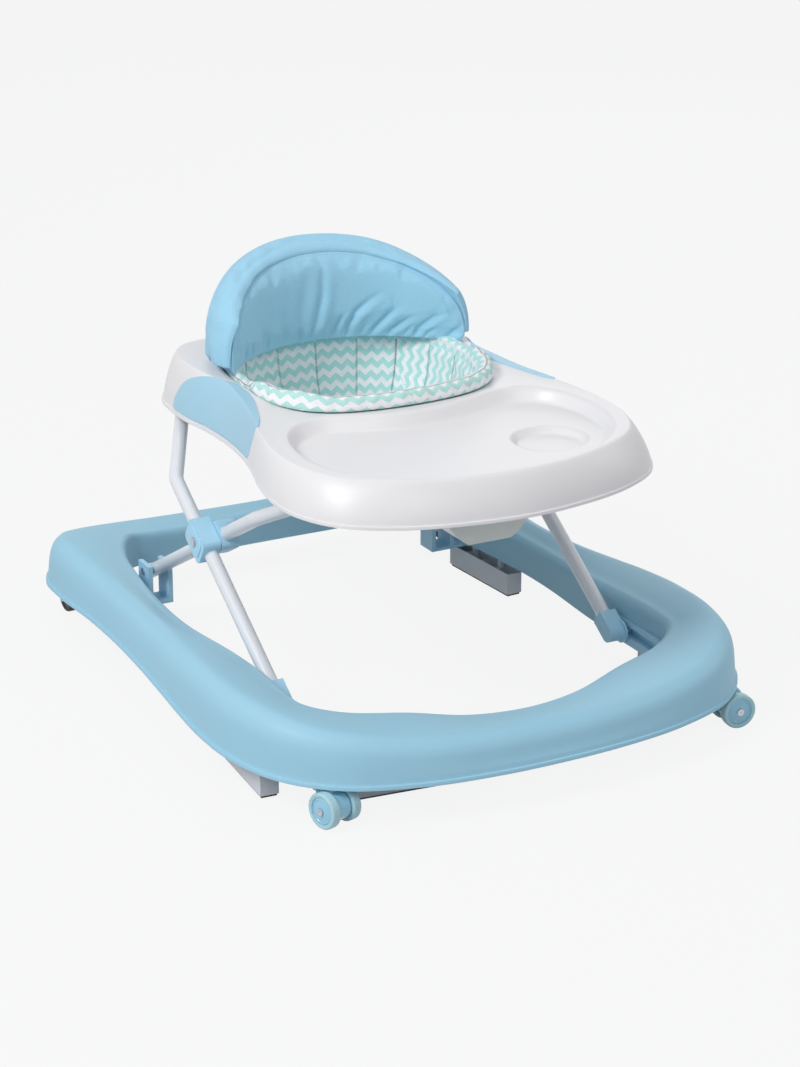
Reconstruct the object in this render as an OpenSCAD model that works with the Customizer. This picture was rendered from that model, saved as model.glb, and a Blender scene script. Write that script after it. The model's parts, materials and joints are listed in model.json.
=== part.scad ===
// Baby walker: a moulded base ring on two casters and two fixed rear wheels, a scissor of two bent tube
// frames, and a level tray body with a hanging seat and a padded backrest.
// Frame: x to the side, front of the walker towards -y, +z up, floor at z = 0.

/* [Base ring] */
// Overall width of the base ring
base_width = 562; // [550:1:590]
// Overall length of the base ring
base_length = 713; // [700:1:740]
// Height of the ring's lower rim above the floor
rim_height = 38; // [38:0.5:41]
// Wall of every moulded shell
shell_wall = 3; // [2.5:0.5:3.5]
// How far the rim's lip stands out
rim_lip = 2.5; // [1.5:0.5:4]

/* [Wheels] */
// Radius of a caster wheel over its tyre
wheel_r = 18; // [16:0.5:18]
// Width of one caster wheel
wheel_w = 10; // [8:0.5:11]
// Width of the caster fork between its two wheels
fork_w = 15; // [12:0.5:18]
// Distance from the swivel axis back to the caster axle
caster_trail = 18; // [14:0.5:20]
// Swivel angle at rest of the left caster
left_caster_turn = 16; // [-180:1:180]
// Swivel angle at rest of the right caster
right_caster_turn = 84; // [-180:1:180]
// Radius of the wheel axles
axle_r = 2; // [1.5:0.25:2.5]
// Width of a rear wheel
rear_wheel_w = 14; // [10:0.5:18]

/* [Scissor frame] */
// Outside diameter of the frame tubes
tube_d = 15; // [13:0.5:16]
// Wall of the frame tubes
tube_wall = 1.2; // [0.8:0.1:2]
// Slope of the outer frame, foot to top
outer_slope = 33; // [31:0.5:35]
// Slope of the inner frame, heel to top
inner_slope = 28.6; // [27:0.2:30]
// Length of the outer frame's legs on each side of the cross hinge
outer_arm = 208.6; // [202:0.2:214]
// Height of the cross hinge above the floor
hinge_height = 166; // [162:0.5:172]
// Radius of the cross hinge pins
hinge_pin_r = 3; // [2.5:0.25:4]
// Radius of the foot pins and heel pins
foot_pin_r = 4; // [3:0.25:5]

/* [Tray body] */
// How far the tray body's lower lip hangs below the rear bar's middle
lip_drop = 17.6; // [11.6:0.5:17.6]
// Overall width of the tray
tray_width = 400; // [394:1:410]
// Overall length of the tray body
tray_length = 540; // [536:1:548]
// Depth of the tray's dish below its rim
dish_depth = 9; // [7:0.5:10]
// Radius of the cup recess
cup_r = 38; // [32:0.5:40]
// Depth of the cup recess below the dish floor
cup_depth = 7; // [4:0.5:8]

/* [Seat and backrest] */
// Depth of the hanging seat below the tray body's top
seat_depth = 112; // [90:1:116]
// Thickness of the quilted seat fabric
seat_cloth = 6; // [4:0.5:8]
// Height of the backrest above the tray body's top
back_height = 107; // [100:1:130]
// Thickness of the backrest cushion
back_thick = 38.5; // [30:0.5:42]
// Radius of the backrest's curve, seen from above
back_r = 165.5; // [160:0.5:170]
// Thickness of the backrest board
board_thick = 5; // [3:0.5:8]

/* [Hidden] */
$fn = 48;
seam = 0.3;          // gap between separate pieces that seat on each other
running = 0.06;      // radial clearance of a pin or tube that turns in its bore
snug = 0.02;         // radial clearance of a pin held in its own body

// ---- curves and lofts ------------------------------------------------------------------------

// One value of a Catmull-Rom curve between b and c
function curve(a, b, c, d, t) =
    0.5 * (2 * b + (c - a) * t + (2 * a - 5 * b + 4 * c - d) * t * t + (3 * b - a - 3 * c + d) * t * t * t);

// Closed smooth run through rows of numbers, with so many steps between two rows
function closed_run(rows, steps) =
    let (n = len(rows))
    [for (i = [0:n - 1], k = [0:steps - 1])
        curve(rows[(i + n - 1) % n], rows[i], rows[(i + 1) % n], rows[(i + 2) % n], k / steps)];

// Full ring of stations from those of its right half, front centre to rear centre
function both_sides(half) =
    concat(half, [for (i = [len(half) - 2:-1:1])
        [-half[i][0], half[i][1], -half[i][2], half[i][3], half[i][4], half[i][5], half[i][6]]]);

// Stations stretched to the wanted width and length
function stretched(half, kx, ky) =
    [for (s = half) [s[0] * kx, s[1] * ky, s[2] * kx, s[3] * ky, s[4], s[5], s[6]]];

// A profile point, so far in from a station's outer edge and at height z
function at_station(s, inward, z) =
    let (a = [s[0], s[1]], b = [s[2], s[3]], p = a + (b - a) * inward / norm(b - a))
    [p[0], p[1], z];

function station_width(s) = norm([s[2] - s[0], s[3] - s[1]]);

// Triangles between neighbouring stations that each hold the same number of points
function loft_faces(stations, points, closed) =
    [for (i = [0:stations - (closed ? 1 : 2)], j = [0:points - 1])
        let (k = (i + 1) % stations, m = (j + 1) % points)
        each [[i * points + j, k * points + m, k * points + j],
              [i * points + j, i * points + m, k * points + m]]];

module ring_loft(sections) {
    polyhedron([for (s = sections) each s], loft_faces(len(sections), len(sections[0]), true), convexity = 8);
}

module strip_loft(sections) {
    n = len(sections[0]);
    last = (len(sections) - 1) * n;
    polyhedron(
        [for (s = sections) each s],
        concat(loft_faces(len(sections), n, false),
            [[for (j = [n - 1:-1:0]) j]],
            [[for (j = [0:n - 1]) last + j]]),
        convexity = 8);
}

module on_side(side) {
    if (side > 0) children();
    else mirror([1, 0, 0]) children();
}

module both() {
    for (side = [-1, 1]) on_side(side) children();
}

// ---- base ring -------------------------------------------------------------------------------

base_kx = base_width / 562;
base_ky = base_length / 713;
rise = rim_height - 38;

// Right half: outer x, outer y, inner x, inner y, ridge height, inner edge height, ridge inset
base_half = stretched([
    [0, -360, 0, -288, 76, 69, 22],
    [72, -357, 60, -279, 77, 70, 22],
    [142, -346, 117, -263, 80, 71, 22],
    [210, -320, 172, -246, 87, 75, 22],
    [256, -273, 204, -221, 94, 80, 22],
    [277, -211, 208, -190, 97, 83, 22],
    [281, -150, 207, -150, 97, 83, 22],
    [278, -95, 206, -110, 95, 83, 22],
    [273, -40, 207, -60, 91, 82, 22],
    [267, 30, 212, 25, 86, 80, 22],
    [263, 105, 211, 95, 84, 79, 22],
    [263, 180, 204, 170, 86, 80, 22],
    [267, 250, 194, 240, 91, 84, 22],
    [262, 308, 168, 294, 90, 82, 22],
    [226, 346, 135, 304, 82, 76, 22],
    [120, 356, 70, 304, 78, 74, 22],
    [0, 353, 0, 304, 80, 76, 22]
], base_kx, base_ky);

lip_tall = 4;        // height of the lip round the rim
wall_draft = 3;      // how far the inner wall leans out towards its foot

// Inverted channel section: lip, outer wall, round shoulder, ridge, inner edge, inner wall, underside
function base_section(s) =
    let (w = station_width(s), r = s[4] + rise, e = s[5] + rise, t = shell_wall, low = rim_height,
         mid = (r + e) / 2 + 1.5)
    [for (p = [
        [-rim_lip, low], [-rim_lip, low + lip_tall], [0, low + lip_tall + 1],
        [2.5, r - 24], [6, r - 12], [12, r - 4.5], [s[6], r],
        [w * 0.55, mid], [w - 14, e + 0.5], [w - 5, e - 1.5], [w - 0.5, e - 8], [w - wall_draft, low],
        [w - wall_draft - t, low], [w - 2.5 - t, e - 10], [w - 7, e - 1.5 - t], [w - 14, e + 0.5 - t],
        [w * 0.55, mid - t], [s[6], r - t], [8 + t, r - 10 - t], [3 + t, r - 24], [t, low]
    ]) at_station(s, p[0], p[1])];

base_sections = [for (s = closed_run(both_sides(base_half), 2)) base_section(s)];

// Places on the ring
track_face_x = 205.5 * base_kx;             // inner face of the slide tracks
caster_x = 222 * base_kx;
caster_y = -290 * base_ky;
rear_wheel_x = 238 * base_kx;
rear_wheel_y = 305 * base_ky;

boss_r = 4.5;
socket_r = 8.5;
socket_top = rim_height + 30;
post_top = rim_height + 24;
post_share = 0.22;   // place of each post, as a share of its stopper's length
bracket_screw_x = 213 * base_kx;
screw_pitch = 18;

// Stoppers: centre x, centre y, length, turn, tops of the bosses over their two posts, posts' shift outwards
front_stopper = [123 * base_kx, -277 * base_ky, 110, 6, 68.5, 73, 2.5];
side_stopper = [246 * base_kx, -181 * base_ky, 107, 94, 92.5, 90, 0];
rear_stopper = [212.3 * base_kx, 161 * base_ky, 118, 94, 76.5, 78.5, 4.8];

module base_shell() {
    color([0.65, 0.79, 0.87])
    union() {
        difference() {
            ring_loft(base_sections);
            both() track_window();
        }
        both() {
            shell_boss(caster_x, caster_y, 9, socket_top, 80);
            shell_boss(rear_wheel_x, rear_wheel_y, boss_r + 1.5, post_top, 87);
            for (stopper = [front_stopper, side_stopper, rear_stopper])
                for (end = [-1, 1]) at_post(stopper, end)
                    shell_boss(0, 0, boss_r, post_top, end < 0 ? stopper[4] : stopper[5]);
            for (end = [-1, 1])
                shell_boss(bracket_screw_x, heel_y + end * screw_pitch / 2,
                    boss_r - 1, rim_height - seam, 82);
        }
    }
}

module shell_boss(x, y, r, from, to) {
    translate([x, y, from + seam]) cylinder(r = r, h = to + rise - from - seam);
}

module at_post(stopper, end) {
    translate([stopper[0], stopper[1], 0]) rotate(stopper[3])
        translate([end * stopper[2] * post_share, -stopper[6], 0]) children();
}

// ---- scissor geometry ------------------------------------------------------------------------

arm_k = outer_arm / 208.6;
hinge_y = 33 * arm_k;
inner_arm = outer_arm * cos(outer_slope) / cos(inner_slope);
reach = outer_arm * cos(outer_slope);
foot_y = hinge_y - reach;
foot_z = hinge_height - outer_arm * sin(outer_slope);
heel_y = hinge_y + reach;
heel_z = hinge_height - inner_arm * sin(inner_slope);
rear_bar_z = hinge_height + outer_arm * sin(outer_slope);
front_bar_z = hinge_height + inner_arm * sin(inner_slope);

tube_r = tube_d / 2;
cap_wall = 2;
outer_leg_x = track_face_x - 3 - cap_wall - tube_r;
inner_leg_x = outer_leg_x - tube_d - 3;

// How far the slots of the feet and of the front bar let the frame fold and rise from rest
fold_angle = 25;
raise_angle = 10;
fold_hinge_y = heel_y - inner_arm * cos(inner_slope - fold_angle);
raise_hinge_y = heel_y - inner_arm * cos(inner_slope + raise_angle);
fold_foot_y = fold_hinge_y - outer_arm * cos(outer_slope - fold_angle);
raise_foot_y = raise_hinge_y - outer_arm * cos(outer_slope + raise_angle);
foot_lift = 1.7;     // most that the foot rises in its slot over the fold

// ---- slide tracks and heel brackets ----------------------------------------------------------

track_end = 12;      // track beyond the pin's last place
track_front = fold_foot_y - foot_pin_r - track_end;
track_rear = raise_foot_y + foot_pin_r + track_end;
track_top = foot_z + foot_lift + foot_pin_r + 6;
track_depth = 10.5;

module track_window() {
    translate([track_face_x - 12, track_front - seam, rim_height - 1])
        cube([12 + track_depth + 4, track_rear - track_front + 2 * seam, track_top - rim_height + 1 + seam]);
}

module slide_track(side) {
    slot_r = foot_pin_r + foot_lift / 2 + 0.7;
    slot_z = foot_z + foot_lift / 2;
    color([0.6, 0.77, 0.85])
    on_side(side) difference() {
        translate([track_face_x, track_front, rim_height + seam])
            cube([track_depth, track_rear - track_front, track_top - rim_height - seam]);
        translate([track_face_x - 1, fold_foot_y, slot_z]) slot_bar(raise_foot_y - fold_foot_y, slot_r, 9);
    }
}

// Bar with round ends that runs along y, so thick in x
module slot_bar(run, r, thick) {
    for (end = [0, run]) translate([0, end, 0]) rotate([0, 90, 0]) cylinder(r = r, h = thick);
    translate([0, 0, -r]) cube([thick, run, 2 * r]);
}

ear_thick = 5;
ear_gap = 1.5;
bracket_flange = 3.4;
screw_r = 1.5;
screw_head_r = 3;
screw_head_tall = 2;

module heel_bracket(side) {
    ear_depth = 28;
    ear_tall = heel_z + foot_pin_r + 5 - rim_height;
    inner_ear_x = inner_leg_x - tube_r - ear_gap - ear_thick;
    outer_ear_x = inner_leg_x + tube_r + ear_gap;
    wall_foot_x = bracket_screw_x + 6;
    color([0.6, 0.77, 0.85])
    on_side(side) difference() {
        union() {
            translate([inner_ear_x, heel_y - ear_depth / 2, rim_height - bracket_flange - seam])
                cube([wall_foot_x - inner_ear_x, ear_depth, bracket_flange]);
            for (x = [inner_ear_x, outer_ear_x])
                translate([x, heel_y - ear_depth / 2, rim_height - bracket_flange - seam])
                    cube([ear_thick, ear_depth, ear_tall + bracket_flange]);
        }
        translate([inner_ear_x - 1, heel_y, heel_z]) rotate([0, 90, 0])
            cylinder(r = foot_pin_r + snug, h = outer_ear_x + ear_thick - inner_ear_x + 2);
        for (end = [-1, 1]) translate([bracket_screw_x, heel_y + end * screw_pitch / 2, 0])
            cylinder(r = screw_r + snug, h = rim_height + 1);
    }
}

module heel_pins() {
    span = 2 * (tube_r + ear_gap + ear_thick);
    head_r = foot_pin_r + 2;
    color([0.7, 0.7, 0.72])
    both() translate([inner_leg_x - span / 2, heel_y, heel_z]) rotate([0, 90, 0]) {
        translate([0, 0, -2]) cylinder(r = head_r, h = 2);
        cylinder(r = foot_pin_r, h = span + 1.5);
    }
}

// ---- stoppers --------------------------------------------------------------------------------

sole_clear = 3;      // height of the rubber soles above the floor
sole_thick = 2.5;
stopper_w = 19;
stopper_tall = 24;

module stopper(side, place) {
    length = place[2];
    floor_z = sole_clear + sole_thick;
    color([0.84, 0.85, 0.87])
    on_side(side) translate([place[0], place[1], 0]) rotate(place[3]) {
        difference() {
            translate([-length / 2, -stopper_w / 2, floor_z]) cube([length, stopper_w, stopper_tall]);
            translate([-length / 2 + 2, -stopper_w / 2 + 2, floor_z + 2])
                cube([length - 4, stopper_w - 4, stopper_tall]);
        }
        for (rib = [-1:1]) translate([rib * length / 4 - 1, -stopper_w / 2 + 2, floor_z + 2])
            cube([2, stopper_w - 4, stopper_tall - 4]);
    }
    color([0.84, 0.85, 0.87])
    on_side(side) for (end = [-1, 1]) at_post(place, end) translate([0, 0, floor_z + 1])
        cylinder(r = boss_r, h = post_top - floor_z - 1);
}

module stopper_soles() {
    color([0.1, 0.1, 0.11])
    both() for (place = [front_stopper, side_stopper, rear_stopper])
        translate([place[0], place[1], sole_clear]) rotate(place[3])
            translate([-place[2] / 2 + 1.5, -stopper_w / 2 + 1.5, 0])
                cube([place[2] - 3, stopper_w - 3, sole_thick]);
}

// Screw with its head below the origin and its shaft as long as the flange it goes through
module screw(flange) {
    translate([0, 0, -screw_head_tall]) cylinder(r = screw_head_r, h = screw_head_tall);
    cylinder(r = screw_r, h = flange);
}

// Screws that hold each heel bracket's flange up to the ring
module base_screws() {
    color([0.75, 0.75, 0.77])
    both() for (end = [-1, 1])
        translate([bracket_screw_x, heel_y + end * screw_pitch / 2, rim_height - seam - bracket_flange])
            screw(bracket_flange);
}

// ---- casters ---------------------------------------------------------------------------------

stem_r = 4;
fork_gap = 0.5;      // between the fork and each wheel
tyre_thick = 4.5;
hub_r = wheel_r - tyre_thick;
wheel_offset = fork_w / 2 + fork_gap + wheel_w / 2;
fork_top = rim_height - 0.6;

module caster_socket(side) {
    color([0.5, 0.66, 0.78])
    on_side(side) translate([caster_x, caster_y, rim_height]) difference() {
        cylinder(r = socket_r, h = socket_top - rim_height);
        translate([0, 0, -1]) cylinder(r = stem_r + running, h = socket_top - rim_height - 2);
    }
}

// Caster frame: swivel axis at the origin, axle along x at y = -trail
module at_caster(side) {
    translate([side * caster_x, caster_y, 0])
        rotate(side < 0 ? left_caster_turn : right_caster_turn) children();
}

module caster_fork(side) {
    color([0.48, 0.64, 0.76])
    at_caster(side) difference() {
        union() {
            translate([0, 0, fork_top - 6]) cylinder(r = socket_r + 1, h = 6);
            fork_stem();
            translate([-fork_w / 2, -caster_trail, wheel_r]) rotate([0, 90, 0])
                cylinder(r = wheel_r - 4, h = fork_w);
            translate([-fork_w / 2, -caster_trail, wheel_r]) cube([fork_w, caster_trail, fork_top - wheel_r]);
        }
        translate([-fork_w, -caster_trail, wheel_r]) rotate([0, 90, 0])
            cylinder(r = axle_r + snug, h = 2 * fork_w);
    }
}

module fork_stem() {
    translate([0, 0, fork_top - 3]) cylinder(r = stem_r, h = socket_top - 6 - fork_top + 3);
}

module caster_axle(side) {
    reach_x = wheel_offset + wheel_w / 2 + 0.4;
    color([0.75, 0.75, 0.77])
    at_caster(side) translate([-reach_x, -caster_trail, wheel_r]) rotate([0, 90, 0]) {
        cylinder(r = axle_r, h = 2 * reach_x);
        for (z = [-1, 2 * reach_x]) translate([0, 0, z]) difference() {
            cylinder(r = axle_r + 1.6, h = 1);
            if (z > 0) translate([0, 0, 0.3]) cylinder(r = 1, h = 1);
            else translate([0, 0, -0.3]) cylinder(r = 1, h = 1);
        }
    }
}

// Wheel number -1 sits on the outer end of the left caster's axle, +1 on the other end
module at_caster_wheel(side, place) {
    at_caster(side) translate([place * wheel_offset, -caster_trail, wheel_r]) rotate([0, place * 90, 0])
        children();
}

module wheel_hub(half_w, crown) {
    rotate_extrude() polygon([
        [axle_r + running, -half_w], [hub_r - 2.5, -half_w], [hub_r, -half_w + 1.5], [hub_r, half_w - 1.5],
        [hub_r - 2, half_w - 0.5], [hub_r - 2.6, half_w - 1.2], [hub_r - 4.5, half_w - 0.4 * crown],
        [axle_r + 2.5, half_w], [axle_r + running, half_w]
    ]);
}

module wheel_tyre(half_w, r) {
    edge = 2;
    rotate_extrude() polygon(concat(
        [[hub_r + snug, -half_w + 0.6]],
        [for (a = [-90:22.5:0]) [r - edge + edge * cos(a), -half_w + edge + edge * sin(a)]],
        [for (a = [0:22.5:90]) [r - edge + edge * cos(a), half_w - edge + edge * sin(a)]],
        [[hub_r + snug, half_w - 0.6]]));
}

module caster_hub(side, place) {
    color([0.66, 0.8, 0.88]) at_caster_wheel(side, place) wheel_hub(wheel_w / 2, 2);
}

module caster_tyre(side, place) {
    color([0.62, 0.78, 0.82]) at_caster_wheel(side, place) wheel_tyre(wheel_w / 2, wheel_r);
}

// ---- rear wheels -----------------------------------------------------------------------------

module at_rear_axle(side) {
    translate([side * rear_wheel_x, rear_wheel_y, wheel_r]) rotate([0, side * 90, 0]) children();
}

module rear_wheel_housing(side) {
    cheek = 3;
    half_gap = rear_wheel_w / 2 + fork_gap;
    bridge_z = 2 * wheel_r + 1.5;
    color([0.55, 0.72, 0.82])
    on_side(side) translate([rear_wheel_x, rear_wheel_y, 0]) difference() {
        union() {
            for (x = [-half_gap - cheek, half_gap]) {
                translate([x, 0, wheel_r]) rotate([0, 90, 0]) cylinder(r = axle_r + 4, h = cheek);
                translate([x, -axle_r - 4, wheel_r]) cube([cheek, 2 * axle_r + 8, bridge_z - wheel_r + 1]);
            }
            translate([-half_gap - cheek, -axle_r - 4, bridge_z])
                cube([2 * (half_gap + cheek), 2 * axle_r + 8, 5]);
            translate([0, 0, bridge_z + 1]) cylinder(r = boss_r + 1.5, h = post_top - bridge_z - 1);
        }
        translate([-2 * half_gap, 0, wheel_r]) rotate([0, 90, 0])
            cylinder(r = axle_r + snug, h = 4 * half_gap);
    }
}

module rear_axle(side) {
    half = rear_wheel_w / 2 + fork_gap + 3 + 0.5;
    color([0.75, 0.75, 0.77])
    at_rear_axle(side) {
        translate([0, 0, -half]) cylinder(r = axle_r, h = 2 * half);
        translate([0, 0, half]) cylinder(r = axle_r + 1.5, h = 1);
    }
}

module rear_hub(side) {
    color([0.55, 0.72, 0.82]) at_rear_axle(side) wheel_hub(rear_wheel_w / 2, 2);
}

module rear_tyre(side) {
    color([0.09, 0.09, 0.1]) at_rear_axle(side) wheel_tyre(rear_wheel_w / 2, wheel_r);
}

// ---- bent tube frames ------------------------------------------------------------------------

function unit(v) = v / norm(v);

// Places and headings round one left-hand bend
function corner(a, b, c, bend) =
    let (d = unit(b - a), turn = acos(d * unit(c - b)), heading = atan2(d[1], d[0]),
         centre = b - d * bend * tan(turn / 2) + [-d[1], d[0]] * bend)
    [for (k = [0:4]) let (t = heading + turn * k / 4) [centre + bend * [sin(t), -cos(t)], t]];

function flat_run(path, bend) =
    let (last = len(path) - 1, first_d = path[1] - path[0], last_d = path[last] - path[last - 1])
    concat([[path[0], atan2(first_d[1], first_d[0])]],
        [for (i = [1:last - 1]) each corner(path[i - 1], path[i], path[i + 1], bend)],
        [[path[last], atan2(last_d[1], last_d[0])]]);

tube_sides = 16;

function tube_rings(run, r) =
    [for (p = run) [for (k = [0:tube_sides - 1]) let (a = 360 * k / tube_sides, across = r * cos(a))
        [p[0][0] + across * sin(p[1]), p[0][1] - across * cos(p[1]), r * sin(a)]]];

// Hollow tube, bent flat in the xy plane: its outside one way and its bore back
module bent_tube(path, bend) {
    run = flat_run(path, bend);
    outside = tube_rings(run, tube_r);
    inside = tube_rings(run, tube_r - tube_wall);
    ring_loft(concat(outside, [for (i = [len(inside) - 1:-1:0]) inside[i]]));
}

// U of tube: two legs that start at s = start, lean in from s = knee, and end in a cross bar at s = top
function u_path(leg_x, start, knee, top, bar_x) =
    [[leg_x, start], [leg_x, knee], [bar_x, top], [-bar_x, top], [-leg_x, knee], [-leg_x, start]];

tube_bend = 25;
outer_knee = 290;
outer_bar_x = 133;
inner_knee = 300;
inner_bar_x = 122;
foot_gap_s = 8;      // from the foot pin to the tube's end
heel_tail = 10;      // tube beyond the heel pin

module in_outer_plane() {
    translate([0, foot_y, foot_z]) rotate([outer_slope, 0, 0]) children();
}

module in_inner_plane() {
    translate([0, heel_y, heel_z]) rotate([180 - inner_slope, 0, 0]) children();
}

module cross_bore(x, s, r, length) {
    translate([x - length / 2, s, 0]) rotate([0, 90, 0]) cylinder(r = r, h = length);
}

module outer_leg_frame() {
    color([0.86, 0.88, 0.9])
    in_outer_plane() difference() {
        bent_tube(u_path(outer_leg_x, foot_gap_s, outer_knee, 2 * outer_arm, outer_bar_x), tube_bend);
        both() cross_bore(outer_leg_x, outer_arm, hinge_pin_r + running, 2 * tube_d);
    }
}

module inner_leg_frame() {
    color([0.86, 0.88, 0.9])
    in_inner_plane() difference() {
        bent_tube(u_path(inner_leg_x, -heel_tail, inner_knee, 2 * inner_arm, inner_bar_x), tube_bend);
        both() cross_bore(inner_leg_x, inner_arm, hinge_pin_r + snug, 2 * tube_d);
        both() cross_bore(inner_leg_x, 0, foot_pin_r + running, 2 * tube_d);
    }
}

// Plug in each open heel of the inner frame, bored for the heel pin
module heel_plugs() {
    plug_r = (tube_r - tube_wall) * cos(180 / tube_sides) - snug;
    color([0.25, 0.27, 0.3])
    in_inner_plane() both() difference() {
        translate([inner_leg_x, -heel_tail, 0]) rotate([-90, 0, 0]) {
            cylinder(r = plug_r, h = 2 * heel_tail);
            translate([0, 0, -2 - seam]) cylinder(r = tube_r, h = 2);
            translate([0, 0, -1]) cylinder(r = plug_r - 1, h = 2);
        }
        cross_bore(inner_leg_x, 0, foot_pin_r + running, 2 * tube_d);
    }
}

// Foot cap: round end with the slide pin, and a sleeve over the tube
module foot_cap(side) {
    half = tube_r + cap_wall;
    sleeve = 14;
    flange = 2.5;
    pin_length = track_face_x + 7 - outer_leg_x - half + 1;
    color([0.45, 0.66, 0.8])
    on_side(side) in_outer_plane() difference() {
        union() {
            cross_bore(outer_leg_x, 0, half, 2 * half);
            translate([outer_leg_x - half, 0, -half]) cube([2 * half, foot_gap_s + sleeve, 2 * half]);
            translate([outer_leg_x + half - flange, 0, 0]) rotate([0, 90, 0])
                cylinder(r = half + 3, h = flange);
            translate([outer_leg_x + half - 1, 0, 0]) rotate([0, 90, 0])
                cylinder(r = foot_pin_r, h = pin_length);
        }
        translate([outer_leg_x, foot_gap_s - seam, 0]) rotate([-90, 0, 0])
            cylinder(r = tube_r + snug, h = 2 * sleeve);
    }
}

// Rounded slab that lies flat: length along y, height along z, thickness along x
module rounded_slab(length, tall, thick, round_r) {
    rotate([90, 0, 90]) linear_extrude(thick) {
        square([length - 2 * round_r, tall], center = true);
        square([length, tall - 2 * round_r], center = true);
        for (y = [-1, 1], z = [-1, 1])
            translate([y * (length / 2 - round_r), z * (tall / 2 - round_r)]) circle(r = round_r);
    }
}

hinge_length = 40;
hinge_tall = 31;
hinge_inner_wall = 1.2;
hinge_outer_wall = 3.5;

// Clamp half round a tube at leg_x, with its thick wall towards the given direction
module hinge_half(leg_x, s, outward, pin_clear) {
    thick = tube_d + hinge_inner_wall + hinge_outer_wall;
    low_x = leg_x - tube_r - (outward > 0 ? hinge_inner_wall : hinge_outer_wall);
    face_x = outward > 0 ? low_x + thick : low_x - 1;
    difference() {
        union() {
            translate([low_x, s, 0]) rounded_slab(hinge_length, hinge_tall, thick, 6);
            translate([face_x, s, 0]) rounded_slab(hinge_length - 10, hinge_tall - 9, 1, 6);
        }
        translate([leg_x, s - hinge_length, 0]) rotate([-90, 0, 0])
            cylinder(r = tube_r + snug, h = 2 * hinge_length);
        cross_bore(leg_x, s, hinge_pin_r + pin_clear, 4 * tube_d);
    }
}

module hinge_outer_half(side) {
    color([0.62, 0.79, 0.86])
    on_side(side) in_outer_plane() hinge_half(outer_leg_x, outer_arm, 1, running);
}

module hinge_inner_half(side) {
    color([0.58, 0.76, 0.84])
    on_side(side) in_inner_plane() hinge_half(inner_leg_x, inner_arm, -1, snug);
}

module hinge_pins() {
    low_x = inner_leg_x - tube_r - hinge_outer_wall - 1;
    high_x = outer_leg_x + tube_r + hinge_outer_wall + 1 + seam;
    head = 1.5;
    color([0.7, 0.7, 0.72])
    both() translate([low_x, hinge_y, hinge_height]) rotate([0, 90, 0]) {
        translate([0, 0, -head]) cylinder(r = hinge_pin_r + 2, h = head);
        cylinder(r = hinge_pin_r, h = high_x - low_x);
        translate([0, 0, high_x - low_x]) cylinder(r = hinge_pin_r + 2, h = head);
    }
}

// ---- height latch on the front bar -----------------------------------------------------------

latch_low = front_bar_z - 49;
latch_front = foot_y - 73;
latch_rear = foot_y + 10;
latch_wall = 2;
pawl_ahead = 14;     // the pawl's place in front of the bar
pawl_y = foot_y - pawl_ahead;
grip_z = latch_low + latch_wall + 11;
rack_low = front_bar_z + 19;

// Boat-shaped cross section, x across and z up from the keel
function latch_outline(inset) =
    [[-52 + inset, 38], [-50 + inset, 27], [-36 + inset, 9 + inset / 2], [-24 + inset / 2, inset],
     [24 - inset / 2, inset], [36 - inset, 9 + inset / 2], [50 - inset, 27], [52 - inset, 38]];

module latch_block(inset, from, to) {
    translate([0, to, latch_low]) rotate([90, 0, 0]) linear_extrude(to - from) polygon(latch_outline(inset));
}

module latch_housing() {
    saddle_x = 38;
    saddle_w = 8;
    color([0.9, 0.87, 0.8, 0.8])
    difference() {
        union() {
            difference() {
                latch_block(0, latch_front, latch_rear);
                translate([0, 0, 0.01]) latch_block(latch_wall, latch_front + latch_wall, latch_rear + 5);
            }
            both() translate([saddle_x, foot_y - 12, latch_low + 24])
                cube([saddle_w, 22, front_bar_z + tube_r + 2 - latch_low - 24]);
            for (y = [latch_front + 15, latch_front + 30]) difference() {
                latch_block(latch_wall / 2, y, y + latch_wall);
                translate([-30, y - 1, latch_low + 16]) cube([60, latch_wall + 2, 40]);
            }
        }
        translate([-60, foot_y, front_bar_z]) rotate([0, 90, 0]) cylinder(r = tube_r + snug, h = 120);
    }
}

module latch_pawl() {
    color([0.35, 0.38, 0.42]) {
        translate([-7, pawl_y - 3.5, grip_z]) cube([14, 6.5, rack_low - 4 - grip_z]);
        translate([-20, pawl_y - 10, grip_z]) cube([40, 17, 4]);
    }
}

module latch_spring() {
    turns = 4;
    wire = 0.6;
    coil_r = 5;
    low = latch_low + latch_wall + seam + wire;
    tall = grip_z - seam - wire - low;
    steps = 12;
    run = [for (i = [0:turns * steps]) let (a = 360 * i / steps)
        [[for (k = [0:5]) let (b = 60 * k)
            [(coil_r + wire * cos(b)) * cos(a), (coil_r + wire * cos(b)) * sin(a),
             low + tall * i / (turns * steps) + wire * sin(b)]]]];
    color([0.75, 0.75, 0.77]) translate([0, pawl_y - 1, 0]) strip_loft([for (r = run) r[0]]);
}

// ---- tray body -------------------------------------------------------------------------------

tray_kx = tray_width / 400;
tray_ky = tray_length / 540 * arm_k;
lip_height = rear_bar_z - lip_drop;

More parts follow.
